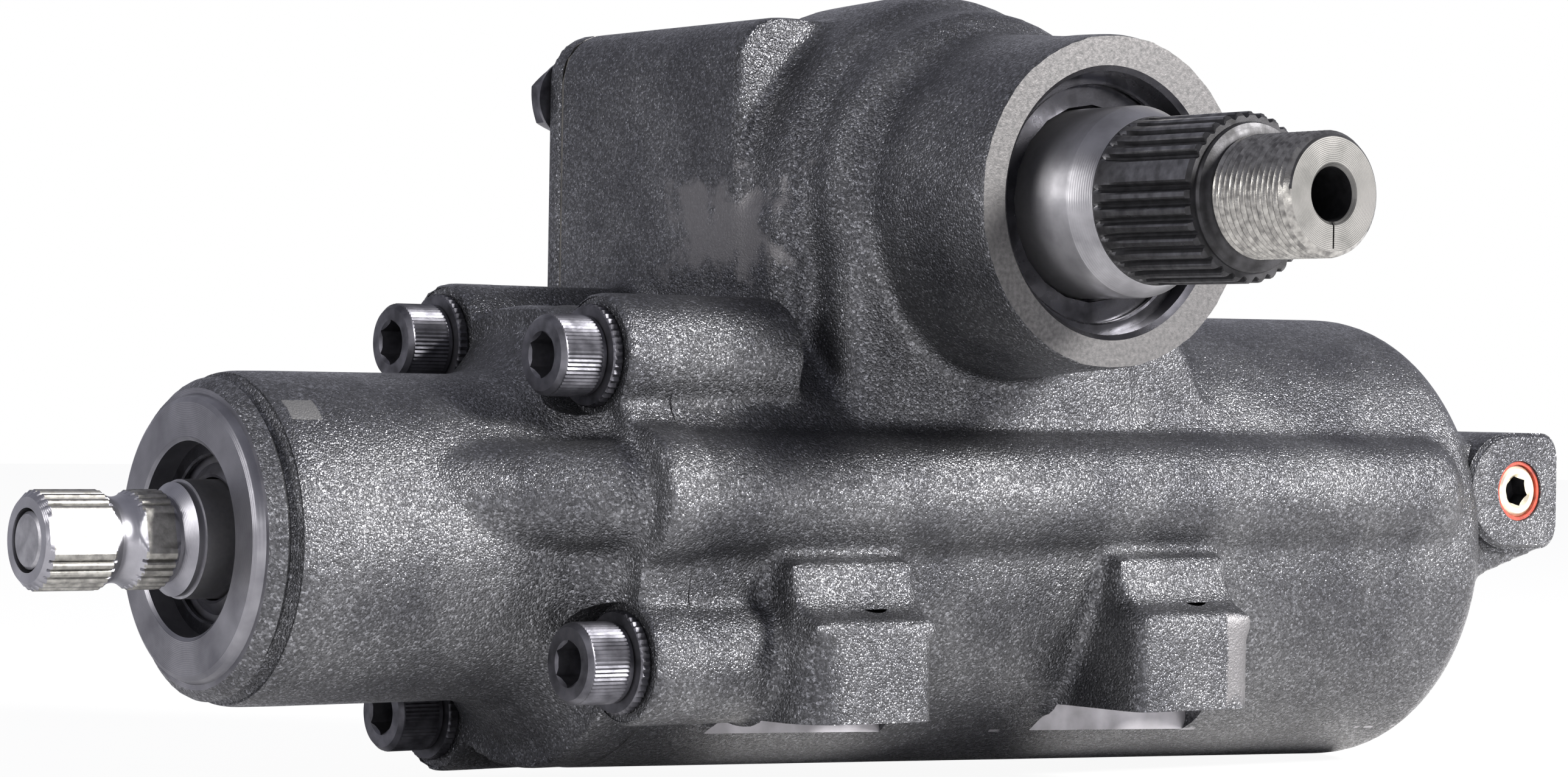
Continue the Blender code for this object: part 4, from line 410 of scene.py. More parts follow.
def worn_metal(name, dark, light, roughness, metallic=1.0, size=4.0, grain=0.5, depth=0.04):
    """A metal with blotches of wear and a fine grain of the given size."""
    material, tree, shader, place = blank(name, Metallic=metallic)
    wear = add_node(tree, "ShaderNodeTexNoise", inputs={"Vector": place, "Scale": 1 / (size * MM), "Detail": 6.0})
    tint = ramp(tree, wear.outputs["Fac"], [(0.34, colour(dark)), (0.66, colour(light))])
    tree.links.new(tint, shader.inputs["Base Color"])
    rough = add_node(tree, "ShaderNodeMapRange", inputs={"Value": wear.outputs["Fac"], "From Min": 0.3, "From Max": 0.7,
                                                         "To Min": roughness + 0.07, "To Max": roughness - 0.07})
    tree.links.new(rough.outputs[0], shader.inputs["Roughness"])
    fine = add_node(tree, "ShaderNodeTexNoise", inputs={"Vector": place, "Scale": 1 / (grain * MM), "Detail": 3.0})
    bump = add_node(tree, "ShaderNodeBump", inputs={"Strength": 0.35, "Distance": depth * MM, "Height": fine.outputs["Fac"]})
    tree.links.new(bump.outputs[0], shader.inputs["Normal"])
    return material


IRON = cast_iron("oiled_grey_cast_iron", "4E4F54", "6C6D71", "666567",
                 (((247.0, -62.0, -24.0), (4.0, 4.0, 8.6), 1.2), ((153.0, -6.0, 63.0), (7.0, 14.0, 8.0), 3.6)))
VALVE_IRON = cast_iron("valve_housing_cast_iron", "56575C", "75767A", "6E6E6E", (((46.5, -20.5, 25.4), (3.2, 2.6, 2.2), 0.4),))
RING_IRON = worn_metal("faced_boss_ring", "3F3F40", "525152", 0.50, 0.75, 0.9, 0.35, 0.10)
NOSE_IRON = machined("faced_valve_nose", "5A5A60", "7B7B80", (0, 0, 0), "X")
PAD_IRON = worn_metal("milled_pad", "7A797D", "959499", 0.48, 0.7, 8.0, 0.4, 0.05)
NICKEL = worn_metal("bright_input_steel", "6A6967", "92918D", 0.44, 1.0, 1.6, 0.4, 0.06)
TURNED_TIP = machined("turned_input_steel", "74747A", "94949A", (0, 0, 0), "X", 0.25, 0.34, 0.95)
BAR_STEEL = worn_metal("torsion_bar_steel", "77777C", "96969A", 0.40, 0.95, 3.0, 0.5, 0.03)
JOURNAL = machined("ground_journal", "66666A", "8C8C90", (SECTOR_X, 0, SECTOR_Z), "Y", 0.2, 0.36, 0.95)
SERRATION = worn_metal("oiled_serration_steel", "4E4E50", "78787A", 0.34, 1.0, 2.5, 0.4, 0.05)
# Painted shade: near black for flutes, thread roots, holes and sockets, where shade falls
RECESS_SHADE = worn_metal("painted_shade_in_recesses", "18181A", "2C2C2F", 0.50, 0.7, 2.5, 0.4, 0.05)
BRIGHT_THREAD = worn_metal("cut_thread_steel", "5C5B5A", "8F8E8B", 0.28, 1.0, 1.6, 0.3, 0.06)
TIP_STEEL = machined("faced_shaft_tip", "4A4A49", "6C6B6A", (SECTOR_X, 0, SECTOR_Z), "Y", 0.35, 0.44, 0.9)
# Painted shade: the bore of the sector shaft, dark as the shade inside the boss
SHADED_BORE = worn_metal("painted_shade_bore", "26262A", "46464A", 0.30, 0.9, 6.0, 0.4, 0.03)
BLACK_OXIDE = worn_metal("black_oxide_steel", "35353A", "5C5C62", 0.44, 0.9, 4.0, 0.45, 0.05)
RUBBER = worn_metal("seal_rubber", "222226", "36363C", 0.42, 0.0, 3.0, 0.4, 0.03)
# Dark spring steel for the snap rings; on the backup washer the same dark is painted shade
SPRING_STEEL_AND_SHADE = worn_metal("dark_spring_steel_and_painted_shade", "1D1D20", "3A3A3E", 0.28, 0.95, 4.0, 0.4, 0.03)
BRASS = worn_metal("yellow_plated_steel", "BDB59B", "E2DBC8", 0.38, 0.9, 2.0, 0.4, 0.04)
RED = worn_metal("red_sealing_ring", "6E2014", "B0402C", 0.42, 0.0, 2.0, 0.4, 0.03)
STEEL = worn_metal("machined_inner_steel", "6F6F70", "9B9A99", 0.30, 1.0, 8.0, 0.5, 0.03)
PTFE = worn_metal("ptfe_ring", "4A3D2E", "66563F", 0.45, 0.0, 4.0, 0.4, 0.02)
FIBRE = worn_metal("gasket_fibre", "3B3A38", "4C4A47", 0.8, 0.0, 3.0, 0.3, 0.05)


# Gear housing casting

BARREL_START, BARREL_END = 112.0, 324.0
BARREL_R0, BARREL_R1 = 46.5, 49.8
BARREL_DROP = 0.43
DOME_LENGTH, DOME_CROWN = 19.5, 5.8
BLOCK_HALF, BLOCK_TOP, BLOCK_LOW, BLOCK_NEAR, BLOCK_ROUND = 46.7, 107.0, 20.0, -12.0, 11.0
BOSS_FACE = -74.75
BULGE = [(BOSS_FACE - 1.0, 33.0), (-60, 34.0), (-48, 35.0), (-43.0, 35.0), (-41.0, 35.6), (-38.0, 38.6), (-35.5, 40.4),
         (-33.0, 40.7), (-28.2, 40.9), (-26.2, 41.6), (-23.4, 43.8), (-21.0, 44.3), (-12.0, 44.9), (10.0, 44.0)]
SHOULDER_NEAR = -27.5
SKIRT_HALF, SKIRT_NEAR, SKIRT_LOW = 39.0, -41.5, 19.0
RIDGE_Y, RIDGE_Z, RIDGE_R = -41.5, 9.2, 12.8
SCREWS = ((-28.4, 36.2), (-39.5, -22.8), (28.3, 38.6), (29.7, -37.0))
SCREW_BOSS_ENDS = (149.0, 146.0, 158.0, 148.0)
EAR_R = 12.5
PAD_Z, MOUNT_TOP, WEB_TOP, COVE = -34.5, -14.0, -3.0, 8.0
MILLED_Y = 27.0
MOUNT_HOLES = ((154.6, -52.0, -1), (238.1, -52.0, -1), (210.0, 52.0, 1))
PLUG_X, PLUG_Z, PLUG_FACE = 344.5, 10.2, -46.0
BORE_R, BORE_END = 38.5, 313.0
CHAMBER_R, CHAMBER_TOP, CHAMBER_NEAR = 39.7, 97.5, -17.2


def ear(y, z, start, end, radius=EAR_R):
    """A screw boss with flanks that run in towards the main axis."""
    outline = arc(math.hypot(y, z), 0.0, radius, -90, 90, 16) + [(20.0, radius), (20.0, -radius)]
    return prism(outline, start, end, ALONG_X @ Matrix.Rotation(math.atan2(y, -z), 4, "Z"))


def sector_plane(points):
    return [(x - SECTOR_X, SECTOR_Z - z) for x, z in points]


def boss_outline(x0, x1, front, inner, left, right):
    """A boss seen from below, its two front corners rounded differently."""
    way = 1 if front > inner else -1
    outline = [(x0 + left - left * math.sin(a), front - way * left * (1 - math.cos(a)))
               for a in [math.pi / 2 * (1 - i / 8) for i in range(9)]]
    outline += [(x1 - right + right * math.sin(a), front - way * right * (1 - math.cos(a)))
                for a in [math.pi / 2 * i / 8 for i in range(9)]]
    return outline + [(x1, inner), (x0, inner)]


def gear_housing():
    dome = [(BARREL_END + DOME_LENGTH * math.sin(math.pi / 2 * i / 12),
             DOME_CROWN + (BARREL_R1 - DOME_CROWN) * math.cos(math.pi / 2 * i / 12)) for i in range(13)]
    tilt = (Matrix.Translation((SEAM_X, 0, 0)) @ Matrix.Rotation(math.radians(BARREL_DROP), 4, "Y")
            @ Matrix.Translation((-SEAM_X, 0, 0)))
    shapes = [turned([(BARREL_START, BARREL_R0)] + dome, tilt @ ALONG_X)]
    shapes.append(prism(sector_plane(rounded(SECTOR_X - BLOCK_HALF, BLOCK_LOW, SECTOR_X + BLOCK_HALF, BLOCK_TOP,
                                             BLOCK_ROUND)), BLOCK_NEAR, COVER_FACE_Y + 3.0, SECTOR_LINE))
    shapes.append(turned(BULGE, SECTOR_LINE))
    shapes.append(turned([(BOSS_FACE - 1.0, 33.2), (-64.0, 33.6), (-55.0, 30.0)], on_y(SECTOR_X + 1.8, SECTOR_Z + 0.5)))
    shapes.append(block((SECTOR_X - SKIRT_HALF, SKIRT_NEAR, SKIRT_LOW), (SECTOR_X + SKIRT_HALF, 0, SECTOR_Z), 6.0))
    shapes.append(block((SECTOR_X - 46.2, SHOULDER_NEAR, SKIRT_LOW), (SECTOR_X + 42.0, 0, SECTOR_Z + 2.0), 5.0))
    shoulder = ((SECTOR_X, SKIRT_LOW), (SECTOR_X + 61.0, SKIRT_LOW), (SECTOR_X + 60.0, 24.0), (SECTOR_X + 52.0, 38.0),
                (SECTOR_X + 40.0, 54.0), (SECTOR_X, 60.0))
    shapes.append(prism([(x, -z) for x, z in shoulder], SKIRT_NEAR + 1.0, 0.0, on_y(0, 0)))
    # The passage ridge sinks away just before the cross drilling's boss
    shapes.append(turned([(SEAM_X - 6.0, RIDGE_R), (316.0, RIDGE_R), (320.0, RIDGE_R - 1.4), (323.0, RIDGE_R - 5.5),
                          (325.5, 3.0)], on_x(RIDGE_Y, RIDGE_Z), 48))
    shapes.append(block((SEAM_X - 6.0, RIDGE_Y, RIDGE_Z - RIDGE_R * 0.9), (BARREL_END - 2.0, -30.0, RIDGE_Z + RIDGE_R * 0.9)))
    shapes.append(block((BARREL_END - 14.0, RIDGE_Y + 2.0, PLUG_Z - 9.0), (PLUG_X, -20.0, PLUG_Z + 12.0), 2.0))
    for (y, z), end in zip(SCREWS, SCREW_BOSS_ENDS):
        shapes.append(ear(y, z, SEAM_X - 6.0, end))
    for (x, y, side), corner in zip(MOUNT_HOLES, (9.0, 3.0, 6.0)):
        front, inner = y + side * 10.2, side * 28.0
        column = boss_outline(x - 19.0, x + 12.2, front, inner, corner, 4.0)
        shapes.append(prism(column, PAD_Z - 3.0, MOUNT_TOP - 0.4, Matrix.Identity(4)))
        # The web above the spot face curves back to the ridge
        cove = [(front, MOUNT_TOP - 4.0)] + [(front - side * COVE * math.sin(math.pi / 2 * i / 8),
                                              MOUNT_TOP - 0.4 + COVE * (1 - math.cos(math.pi / 2 * i / 8))) for i in range(9)]
        cove += [(front - side * COVE, WEB_TOP), (inner, WEB_TOP), (inner, MOUNT_TOP - 4.0)]
        shapes.append(prism([(-z, py) for py, z in cove], x - 18.0, x + 12.2, ALONG_X))
    left = PLUG_X - 3.0
    arm = (arc(left, PLUG_Z, 13.0, 90, 270, 16) + arc(PLUG_X + 7.5, PLUG_Z - 8.0, 5.0, 270, 360, 6)
           + arc(PLUG_X + 7.5, PLUG_Z + 8.0, 5.0, 0, 90, 6))
    shapes.append(prism([(x, -z) for x, z in arm], PLUG_FACE + 3.0, 14.0, on_y(0, 0)))
    gusset = ((BARREL_END - 6.0, PLUG_Z), (PLUG_X + 12.5, PLUG_Z - 9.0), (PLUG_X + 12.5, PLUG_Z - 12.8),
              (BARREL_END + 11.0, PLUG_Z - 19.5), (BARREL_END - 6.0, PLUG_Z - 24.0))
    shapes.append(prism([(x, -z) for x, z in gusset], PLUG_FACE + 3.0, 12.0, on_y(0, 0)))
    obj = cast("gear_housing_casting", shapes)
    # The boss of the cross drilling keeps its sharp rim
    for depth, share in ((PLUG_FACE + 1.0, 1.0), (PLUG_FACE, 0.93)):
        rim = prism([(x - PLUG_X, PLUG_Z - z) for x, z in arm], depth, -30.0 if share == 1.0 else PLUG_FACE + 1.2,
                    Matrix.Identity(4))
        for vert in rim.verts:
            if vert.co.z < PLUG_FACE + 0.5:
                vert.co.x *= share
                vert.co.y *= share
        rim.transform(on_y(PLUG_X, PLUG_Z))
        carve(obj, rim, operation="UNION")

    # Faces
    carve(obj, block((60, -90, -90), (SEAM_X, 90, 90)),
          block((120, COVER_FACE_Y - 0.3, 12), (280, 80, 140)),
          block((140, BOSS_FACE - 20, 20), (260, BOSS_FACE, 120)))
    for x, y, side in MOUNT_HOLES:
        low, high = sorted((side * MILLED_Y, side * 90.0))
        strip = [(x - 18.6, PAD_Z - 20.0), (x - 19.6, PAD_Z)] + arc(x + 20.0, PAD_Z - 4.5, 4.5, 90, -60, 10)
        strip += [(x + 20.0, PAD_Z - 20.0)]
        carve(obj, prism([(px, -pz) for px, pz in strip], low, high, on_y(0, 0)))
        grooves = [(PAD_Z - 2, 6.9), (PAD_Z + 0.6, 5.6)]
        for step in range(14):
            grooves += [(PAD_Z + 1.2 + step * 1.5, 5.6), (PAD_Z + 1.8 + step * 1.5, 6.3)]
        carve(obj, turned(grooves + [(MOUNT_TOP + 1.5, 6.0)], Matrix.Translation((x, y, 0)), 48))
    # Bores
    chamber = prism([(px, min(max(py, SECTOR_Z - CHAMBER_TOP), CHAMBER_R)) for px, py in
                     arc(0, 0, CHAMBER_R, 0, 354, 59)], CHAMBER_NEAR, COVER_FACE_Y + 5.0, SECTOR_LINE)
    carve(obj, turned([(SEAM_X - 5.0, BORE_R), (BORE_END, BORE_R)]), chamber,
          turned([(BOSS_FACE - 1.0, 28.4), (BOSS_FACE + 1.0, 26.3), (-57.5, 26.3), (-57.5, 23.4), (CHAMBER_NEAR + 2.0, 23.4)],
                 SECTOR_LINE),
          turned([(PLUG_FACE - 1.0, 7.0), (PLUG_FACE + 0.3, 6.7), (PLUG_FACE + 6.5, 6.7), (PLUG_FACE + 6.5, 5.4),
                  (PLUG_FACE + 16.0, 5.4)],
                 on_y(PLUG_X, PLUG_Z), 48))
    for y, z in SCREWS:
        carve(obj, turned([(SEAM_X - 2.0, 5.2), (SEAM_X + 23.0, 5.2)], on_x(y, z), 24))

    def choose(centre, normal):
        if abs(normal.y) > 0.9 and abs(centre.y - BOSS_FACE) < 0.1 and math.hypot(centre.x - SECTOR_X, centre.z - SECTOR_Z) < 34:
            return 1
        # Painted shade: the sector shaft's bore inside the boss is painted dark as shade
        if math.hypot(centre.x - SECTOR_X, centre.z - SECTOR_Z) < 28.6 and centre.y < -17.0:
            return 4
        if normal.z < -0.98 and abs(centre.z - PAD_Z) < 0.1 or abs(abs(centre.y) - MILLED_Y) < 0.05 and centre.z < -30:
            return 2
        if (normal.x < -0.9 and centre.x < SEAM_X + 0.1 or normal.y > 0.9 and centre.y > COVER_FACE_Y - 0.4 and centre.z > 12.0
                or math.hypot(centre.y, centre.z) < BORE_R + 0.2 and centre.x < BORE_END + 0.2):
            return 3
        return 0
    return dress(obj, "housing", [IRON, RING_IRON, PAD_IRON, STEEL, SHADED_BORE], choose, node="gear_housing")


# Valve housing casting

NOSE_X, NOSE_R = 33.1, 27.75
FLANGE_X = 106.8
RECESS_R, RECESS_END = 18.75, 50.0
PORTS = (64.0, 89.0)


def valve_housing():
    body = [(NOSE_X - 2.0, 26.6), (NOSE_X, 27.9), (35.4, 28.6), (36.8, 30.6), (39.6, 31.4), (41.6, 32.2), (50.0, 32.3),
            (92.0, 32.3), (99.0, 33.8), (103.5, 37.6), (FLANGE_X + 1.0, 43.0), (SEAM_X + 4.0, 43.0)]
    shapes = [turned(body), turned([(FLANGE_X, 46.4), (SEAM_X + 4.0, 46.4)])]
    # The flange swells round the oil passage, level with the ridge behind it
    shapes.append(turned([(FLANGE_X + 0.6, 13.6), (SEAM_X + 4.0, 13.6)], on_x(RIDGE_Y, RIDGE_Z), 48))
    for y, z in SCREWS:
        shapes.append(ear(y, z, FLANGE_X, SEAM_X + 4.0))
    # The core print left the cast collar a little off centre
    shapes.append(turned([(36.4, 28.0), (38.6, 29.0)], on_x(1.9, -2.6)))
    passage = turned([(57.0, 6.0), (60.0, 8.0)] + [(60.0 + step * 4.0, 8.0 + 3.2 * (step / 14) ** 0.7) for step in range(1, 16)],
                     Matrix.Identity(4), 48)
    for vert in passage.verts:
        vert.co.x -= RIDGE_Z
        vert.co.y -= 20.0 + 18.0 * min(1.15, max(0.0, (vert.co.z - 60.0) / 48.0)) ** 1.6
    passage.transform(ALONG_X)
    shapes.append(passage)
    for x in PORTS:
        shapes.append(turned([(18.0, 12.5), (42.0, 11.9), (44.0, 11.9)], on_y(x, 0), 48))
    obj = cast("valve_housing_casting", shapes, 1.2)
    carve(obj, block((SEAM_X + 0.02, -90, -90), (SEAM_X + 40, 90, 90)), block((0, -90, -90), (NOSE_X, 90, 90)),
          turned([(20.0, 60.0), (20.0, NOSE_R - 1.6), (NOSE_X, NOSE_R - 1.6), (NOSE_X + 0.5, NOSE_R - 0.7),
                  (NOSE_X + 2.0, NOSE_R), (NOSE_X + 2.1, 60.0)], ring=True),
          turned([(37.9, 60.0), (38.0, 30.8), (38.6, 29.9), (39.5, 29.3), (40.2, 29.8), (40.9, 31.3), (41.0, 60.0)],
                 ring=True),
          block((50, 43.0, -20), (105, 60, 20)))
    for y, z in SCREWS:
        carve(obj, turned([(FLANGE_X - 30.0, 11.6), (FLANGE_X + 0.4, 11.6), (FLANGE_X + 0.4, 5.3), (SEAM_X + 2.0, 5.3)],
                          on_x(y, z), 48))
    carve(obj, turned([(NOSE_X - 1.0, 20.6), (NOSE_X + 0.1, 19.4), (NOSE_X + 0.5, RECESS_R), (RECESS_END, RECESS_R),
                       (RECESS_END, 16.5), (63.2, 16.5), (63.2, 22.9), (100.2, 22.9), (100.2, 28.6), (SEAM_X + 5.0, 28.6)]))
    for x in PORTS:
        carve(obj, turned([(29.5, 7.0), (40.4, 7.0), (43.2, 8.4)], on_y(x, 0), 48), turned([(19.0, 3.0), (30.5, 3.0)], on_y(x, 0), 24))

    def choose(centre, normal):
        reach = math.hypot(centre.y, centre.z)
        if centre.x < NOSE_X + 2.05 or reach < RECESS_R + 0.1:
            return 1
        if (normal.x > 0.9 and centre.x > SEAM_X - 0.2
                or reach < 28.7 and centre.x > NOSE_X + 3 or normal.y > 0.9 and abs(centre.y - 43.0) < 0.1):
            return 2
        return 0
    return dress(obj, "housing", [VALVE_IRON, NOSE_IRON, STEEL], choose, node="valve_housing")


# Side cover

def side_cover():
    low, high = (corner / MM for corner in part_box("side_cover_gasket"))
    start = high.y + 0.3
    outline = sector_plane(rounded(SECTOR_X - BLOCK_HALF, BLOCK_LOW, SECTOR_X + BLOCK_HALF, BLOCK_TOP, BLOCK_ROUND))
    shapes = [prism(outline, start - 1.0, start + 5.4, SECTOR_LINE),
              turned([(start + 1.0, 34.0), (start + 6.2, 32.0), (66.0, 25.0), (68.0, 21.0), (68.0, 14.0), (72.5, 13.2)],
                     SECTOR_LINE)]
    obj = cast("side_cover_casting", shapes, 1.1, 3)
    carve(obj, block((120, start - 20, -20), (280, start, 140)), block((180, 72.4, 50), (220, 80, 90)))
    hub = turned([(27.5, 24.0), (start + 2.0, 24.0)], SECTOR_LINE)
    carve(obj, hub, operation="UNION")
    carve(obj, turned([(26.0, 19.8), (52.0, 19.8)], SECTOR_LINE), turned([(50.0, 5.7), (80.0, 5.7)], SECTOR_LINE, 48))
    for x, z in COVER_BOLTS:
        carve(obj, turned([(40.0, 5.3), (start + 5.6, 5.3)], on_y(x, z), 32),
              turned([(start + 5.3, 9.8), (start + 12.0, 9.8)], on_y(x, z), 48))
    return dress(obj, "housing", [IRON, STEEL], lambda c, n: 1 if c.y < start + 0.05 or c.y > 72.3 else 0,
                 node="side_cover")


COVER_BOLTS = [(SECTOR_X + side * 39.4, z) for z in (93.0, 34.0) for side in (-1, 1)]


def cover_bolt(number, x, z):
    low, high = (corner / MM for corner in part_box(f"cover_bolt_{number}"))
    seat = high.y - 6.6
    head = prism(hexagon(14.0, math.radians(20)), seat + 0.9, high.y, on_y(x, z))
    obj = piece(f"cover_hex_bolt_{number}", head)
    carve(obj, turned([(seat, 9.0), (high.y - 1.1, 8.2), (high.y, 6.6)], on_y(x, z), 48), operation="INTERSECT")
    merged = piece("flange", turned([(seat, 9.0), (seat + 1.2, 8.8), (seat + 1.3, 7.0)], on_y(x, z), 48),
                   turned([(low.y, 4.2), (low.y + 1.0, 5.0), (seat + 0.5, 5.0)], on_y(x, z), 32))
    obj = fuse(obj, merged)
    return dress(obj, "housing", [BLACK_OXIDE], node=f"cover_bolt_{number}")


def fuse(obj, other):
    """Move another piece's mesh into an object."""
    bm = bmesh.new()
    bm.from_mesh(obj.data)
    bm.from_mesh(other.data)
    bm.to_mesh(obj.data)
    bm.free()
    used = other.data
    bpy.data.objects.remove(other, do_unlink=True)
    bpy.data.meshes.remove(used)
    return obj


# Screws between the housings

HEAD_R, HEAD_LENGTH, KEY = 8.0, 10.0, 8.0


def socket_screw(number, y, z):
    low, high = (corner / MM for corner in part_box(f"valve_screw_{number}"))
    top, under = low.x, low.x + HEAD_LENGTH

    def head(distance, angle):
        edge = min(1.0, (distance - top) / 0.9)
        ridge = 0.16 * (1 if round(angle / (2 * math.pi) * 120) % 2 else -1) if top + 1.2 < distance < under - 0.8 else 0.0
        return HEAD_R - 0.16 - 0.8 * (1 - edge) + ridge
    stations = [top, top + 0.9, top + 1.15, top + 1.3, under - 1.0, under - 0.7, under]
    obj = piece(f"socket_head_screw_{number}", fluted(stations, 120, head, on_x(y, z)))
    carve(obj, prism(hexagon(KEY), top - 1.0, top + 5.8, on_x(y, z)),
          turned([(top - 0.5, KEY / math.sqrt(3) + 0.5), (top + 0.5, KEY / math.sqrt(3) - 0.5)], on_x(y, z), 48))
    shank = piece("shank", turned([(under - 0.5, 5.0), (high.x - 1.0, 5.0), (high.x, 4.0)], on_x(y, z), 32))
    obj = fuse(obj, shank)
    return dress(obj, "housing", [BLACK_OXIDE], node=f"valve_screw_{number}")


def ribbed_washer(number, y, z):
    low, high = (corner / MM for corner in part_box(f"lock_washer_{number}"))

    def rim(distance, angle):
        ridge = 0.22 * (1 if round(angle / (2 * math.pi) * 88) % 2 else -1)
        return 9.9 + ridge if low.x + 0.3 < distance < high.x - 0.3 else 9.7
    stations = [low.x, low.x + 0.35, low.x + 0.5, high.x - 0.5, high.x - 0.35, high.x]
    obj = piece(f"ribbed_lock_washer_{number}", fluted(stations, 88, rim, on_x(y, z)))
    carve(obj, turned([(low.x - 1.0, 5.3), (high.x + 1.0, 5.3)], on_x(y, z), 32))
    return dress(obj, "housing", [BLACK_OXIDE], node=f"lock_washer_{number}")


# Input shaft

SPLINE_R, SPLINE_END = 9.525, 27.6
FLAT_CENTRE, FLAT_HALF = math.radians(180.0 - 13.0), math.radians(27.5)
GROOVE_X, GROOVE_R, GROOVE_OUT = 17.3, 5.0, 3.6
SERRATIONS = 30


def input_shaft():
    flat = SPLINE_R * math.cos(FLAT_HALF)

    def serrated(distance, angle):
        limit = SPLINE_R
        reach = math.sqrt(max(0.0, GROOVE_R ** 2 - (distance - GROOVE_X) ** 2))
        if distance < 1.4:
            limit = SPLINE_R - 1.4 + distance
        if reach > GROOVE_OUT:
            limit = min(limit, SPLINE_R + GROOVE_OUT - reach)
        if distance > SPLINE_END - 0.9:
            limit = min(limit, SPLINE_R - 0.9 + (SPLINE_END - distance))
        tooth = round(angle / (2 * math.pi) * SERRATIONS * 6) % 6
        radius = SPLINE_R - (0.0, 0.06, 0.30, 0.85, 0.30, 0.06)[tooth]
        # The blank flat faces the near side; the local angle runs from -Z through +Y
        away = (math.atan2(math.sin(angle - FLAT_LOCAL), math.cos(angle - FLAT_LOCAL)))
        if abs(away) < FLAT_HALF:
            radius = flat / math.cos(away)
        return min(radius, limit)
    wide = math.sqrt(GROOVE_R ** 2 - GROOVE_OUT ** 2)
    stations = [0.0, 0.7, 1.4, 2.0] + [GROOVE_X + wide * i / 8 for i in range(-8, 9)]
    stations += [GROOVE_X + wide + 0.4, SPLINE_END - 0.9, SPLINE_END]
    obj = piece("input_shaft_serration", fluted(stations, SERRATIONS * 6, serrated))
    rest = turned([(SPLINE_END - 1.0, 8.4), (28.4, 8.4), (28.6, 8.8), (30.2, 10.9), (31.6, 10.9), (31.7, 11.4), (64.0, 11.4), (64.0, 13.9),
                   (97.2, 13.9), (97.2, 7.9), (105.5, 7.9)])
    carve(obj, turned([(-1.0, 6.1), (13.5, 6.1)], steps=64))
    obj = fuse(obj, piece("journal", rest))

    def choose(centre, normal):
        reach = math.hypot(centre.y, centre.z)
        if centre.x > 31.6:
            return 2
        if centre.x > SPLINE_END - 0.5 or centre.x < 1.5 or reach < 8.0:
            return 1
        return 1 if abs(centre.x - GROOVE_X) < wide and reach < SPLINE_R - 0.25 and abs(normal.x) < 0.75 else 0
    return dress(obj, "input", [NICKEL, TURNED_TIP, BAR_STEEL], choose, sharp=24, node="input_shaft")


FLAT_LOCAL = math.atan2(-1.0 * math.cos(math.radians(13.0)), -math.sin(math.radians(13.0)))


def torsion_bar():
    obj = piece("torsion_bar_end", turned([(0.05, 4.9), (0.6, 5.45), (12.5, 5.45), (15.5, 3.6), (105.0, 3.6), (108.0, 5.45),
                                           (121.5, 5.45)], steps=64))
    return dress(obj, "worm", [BAR_STEEL], node="torsion_bar")


# Sector shaft

TEETH, TOOTH_R, TOOTH_DEPTH = 32, 16.5, 1.35
BLANK_TOOTH = math.radians(-163.125)
SPLINE_TIP_Y = -115.6


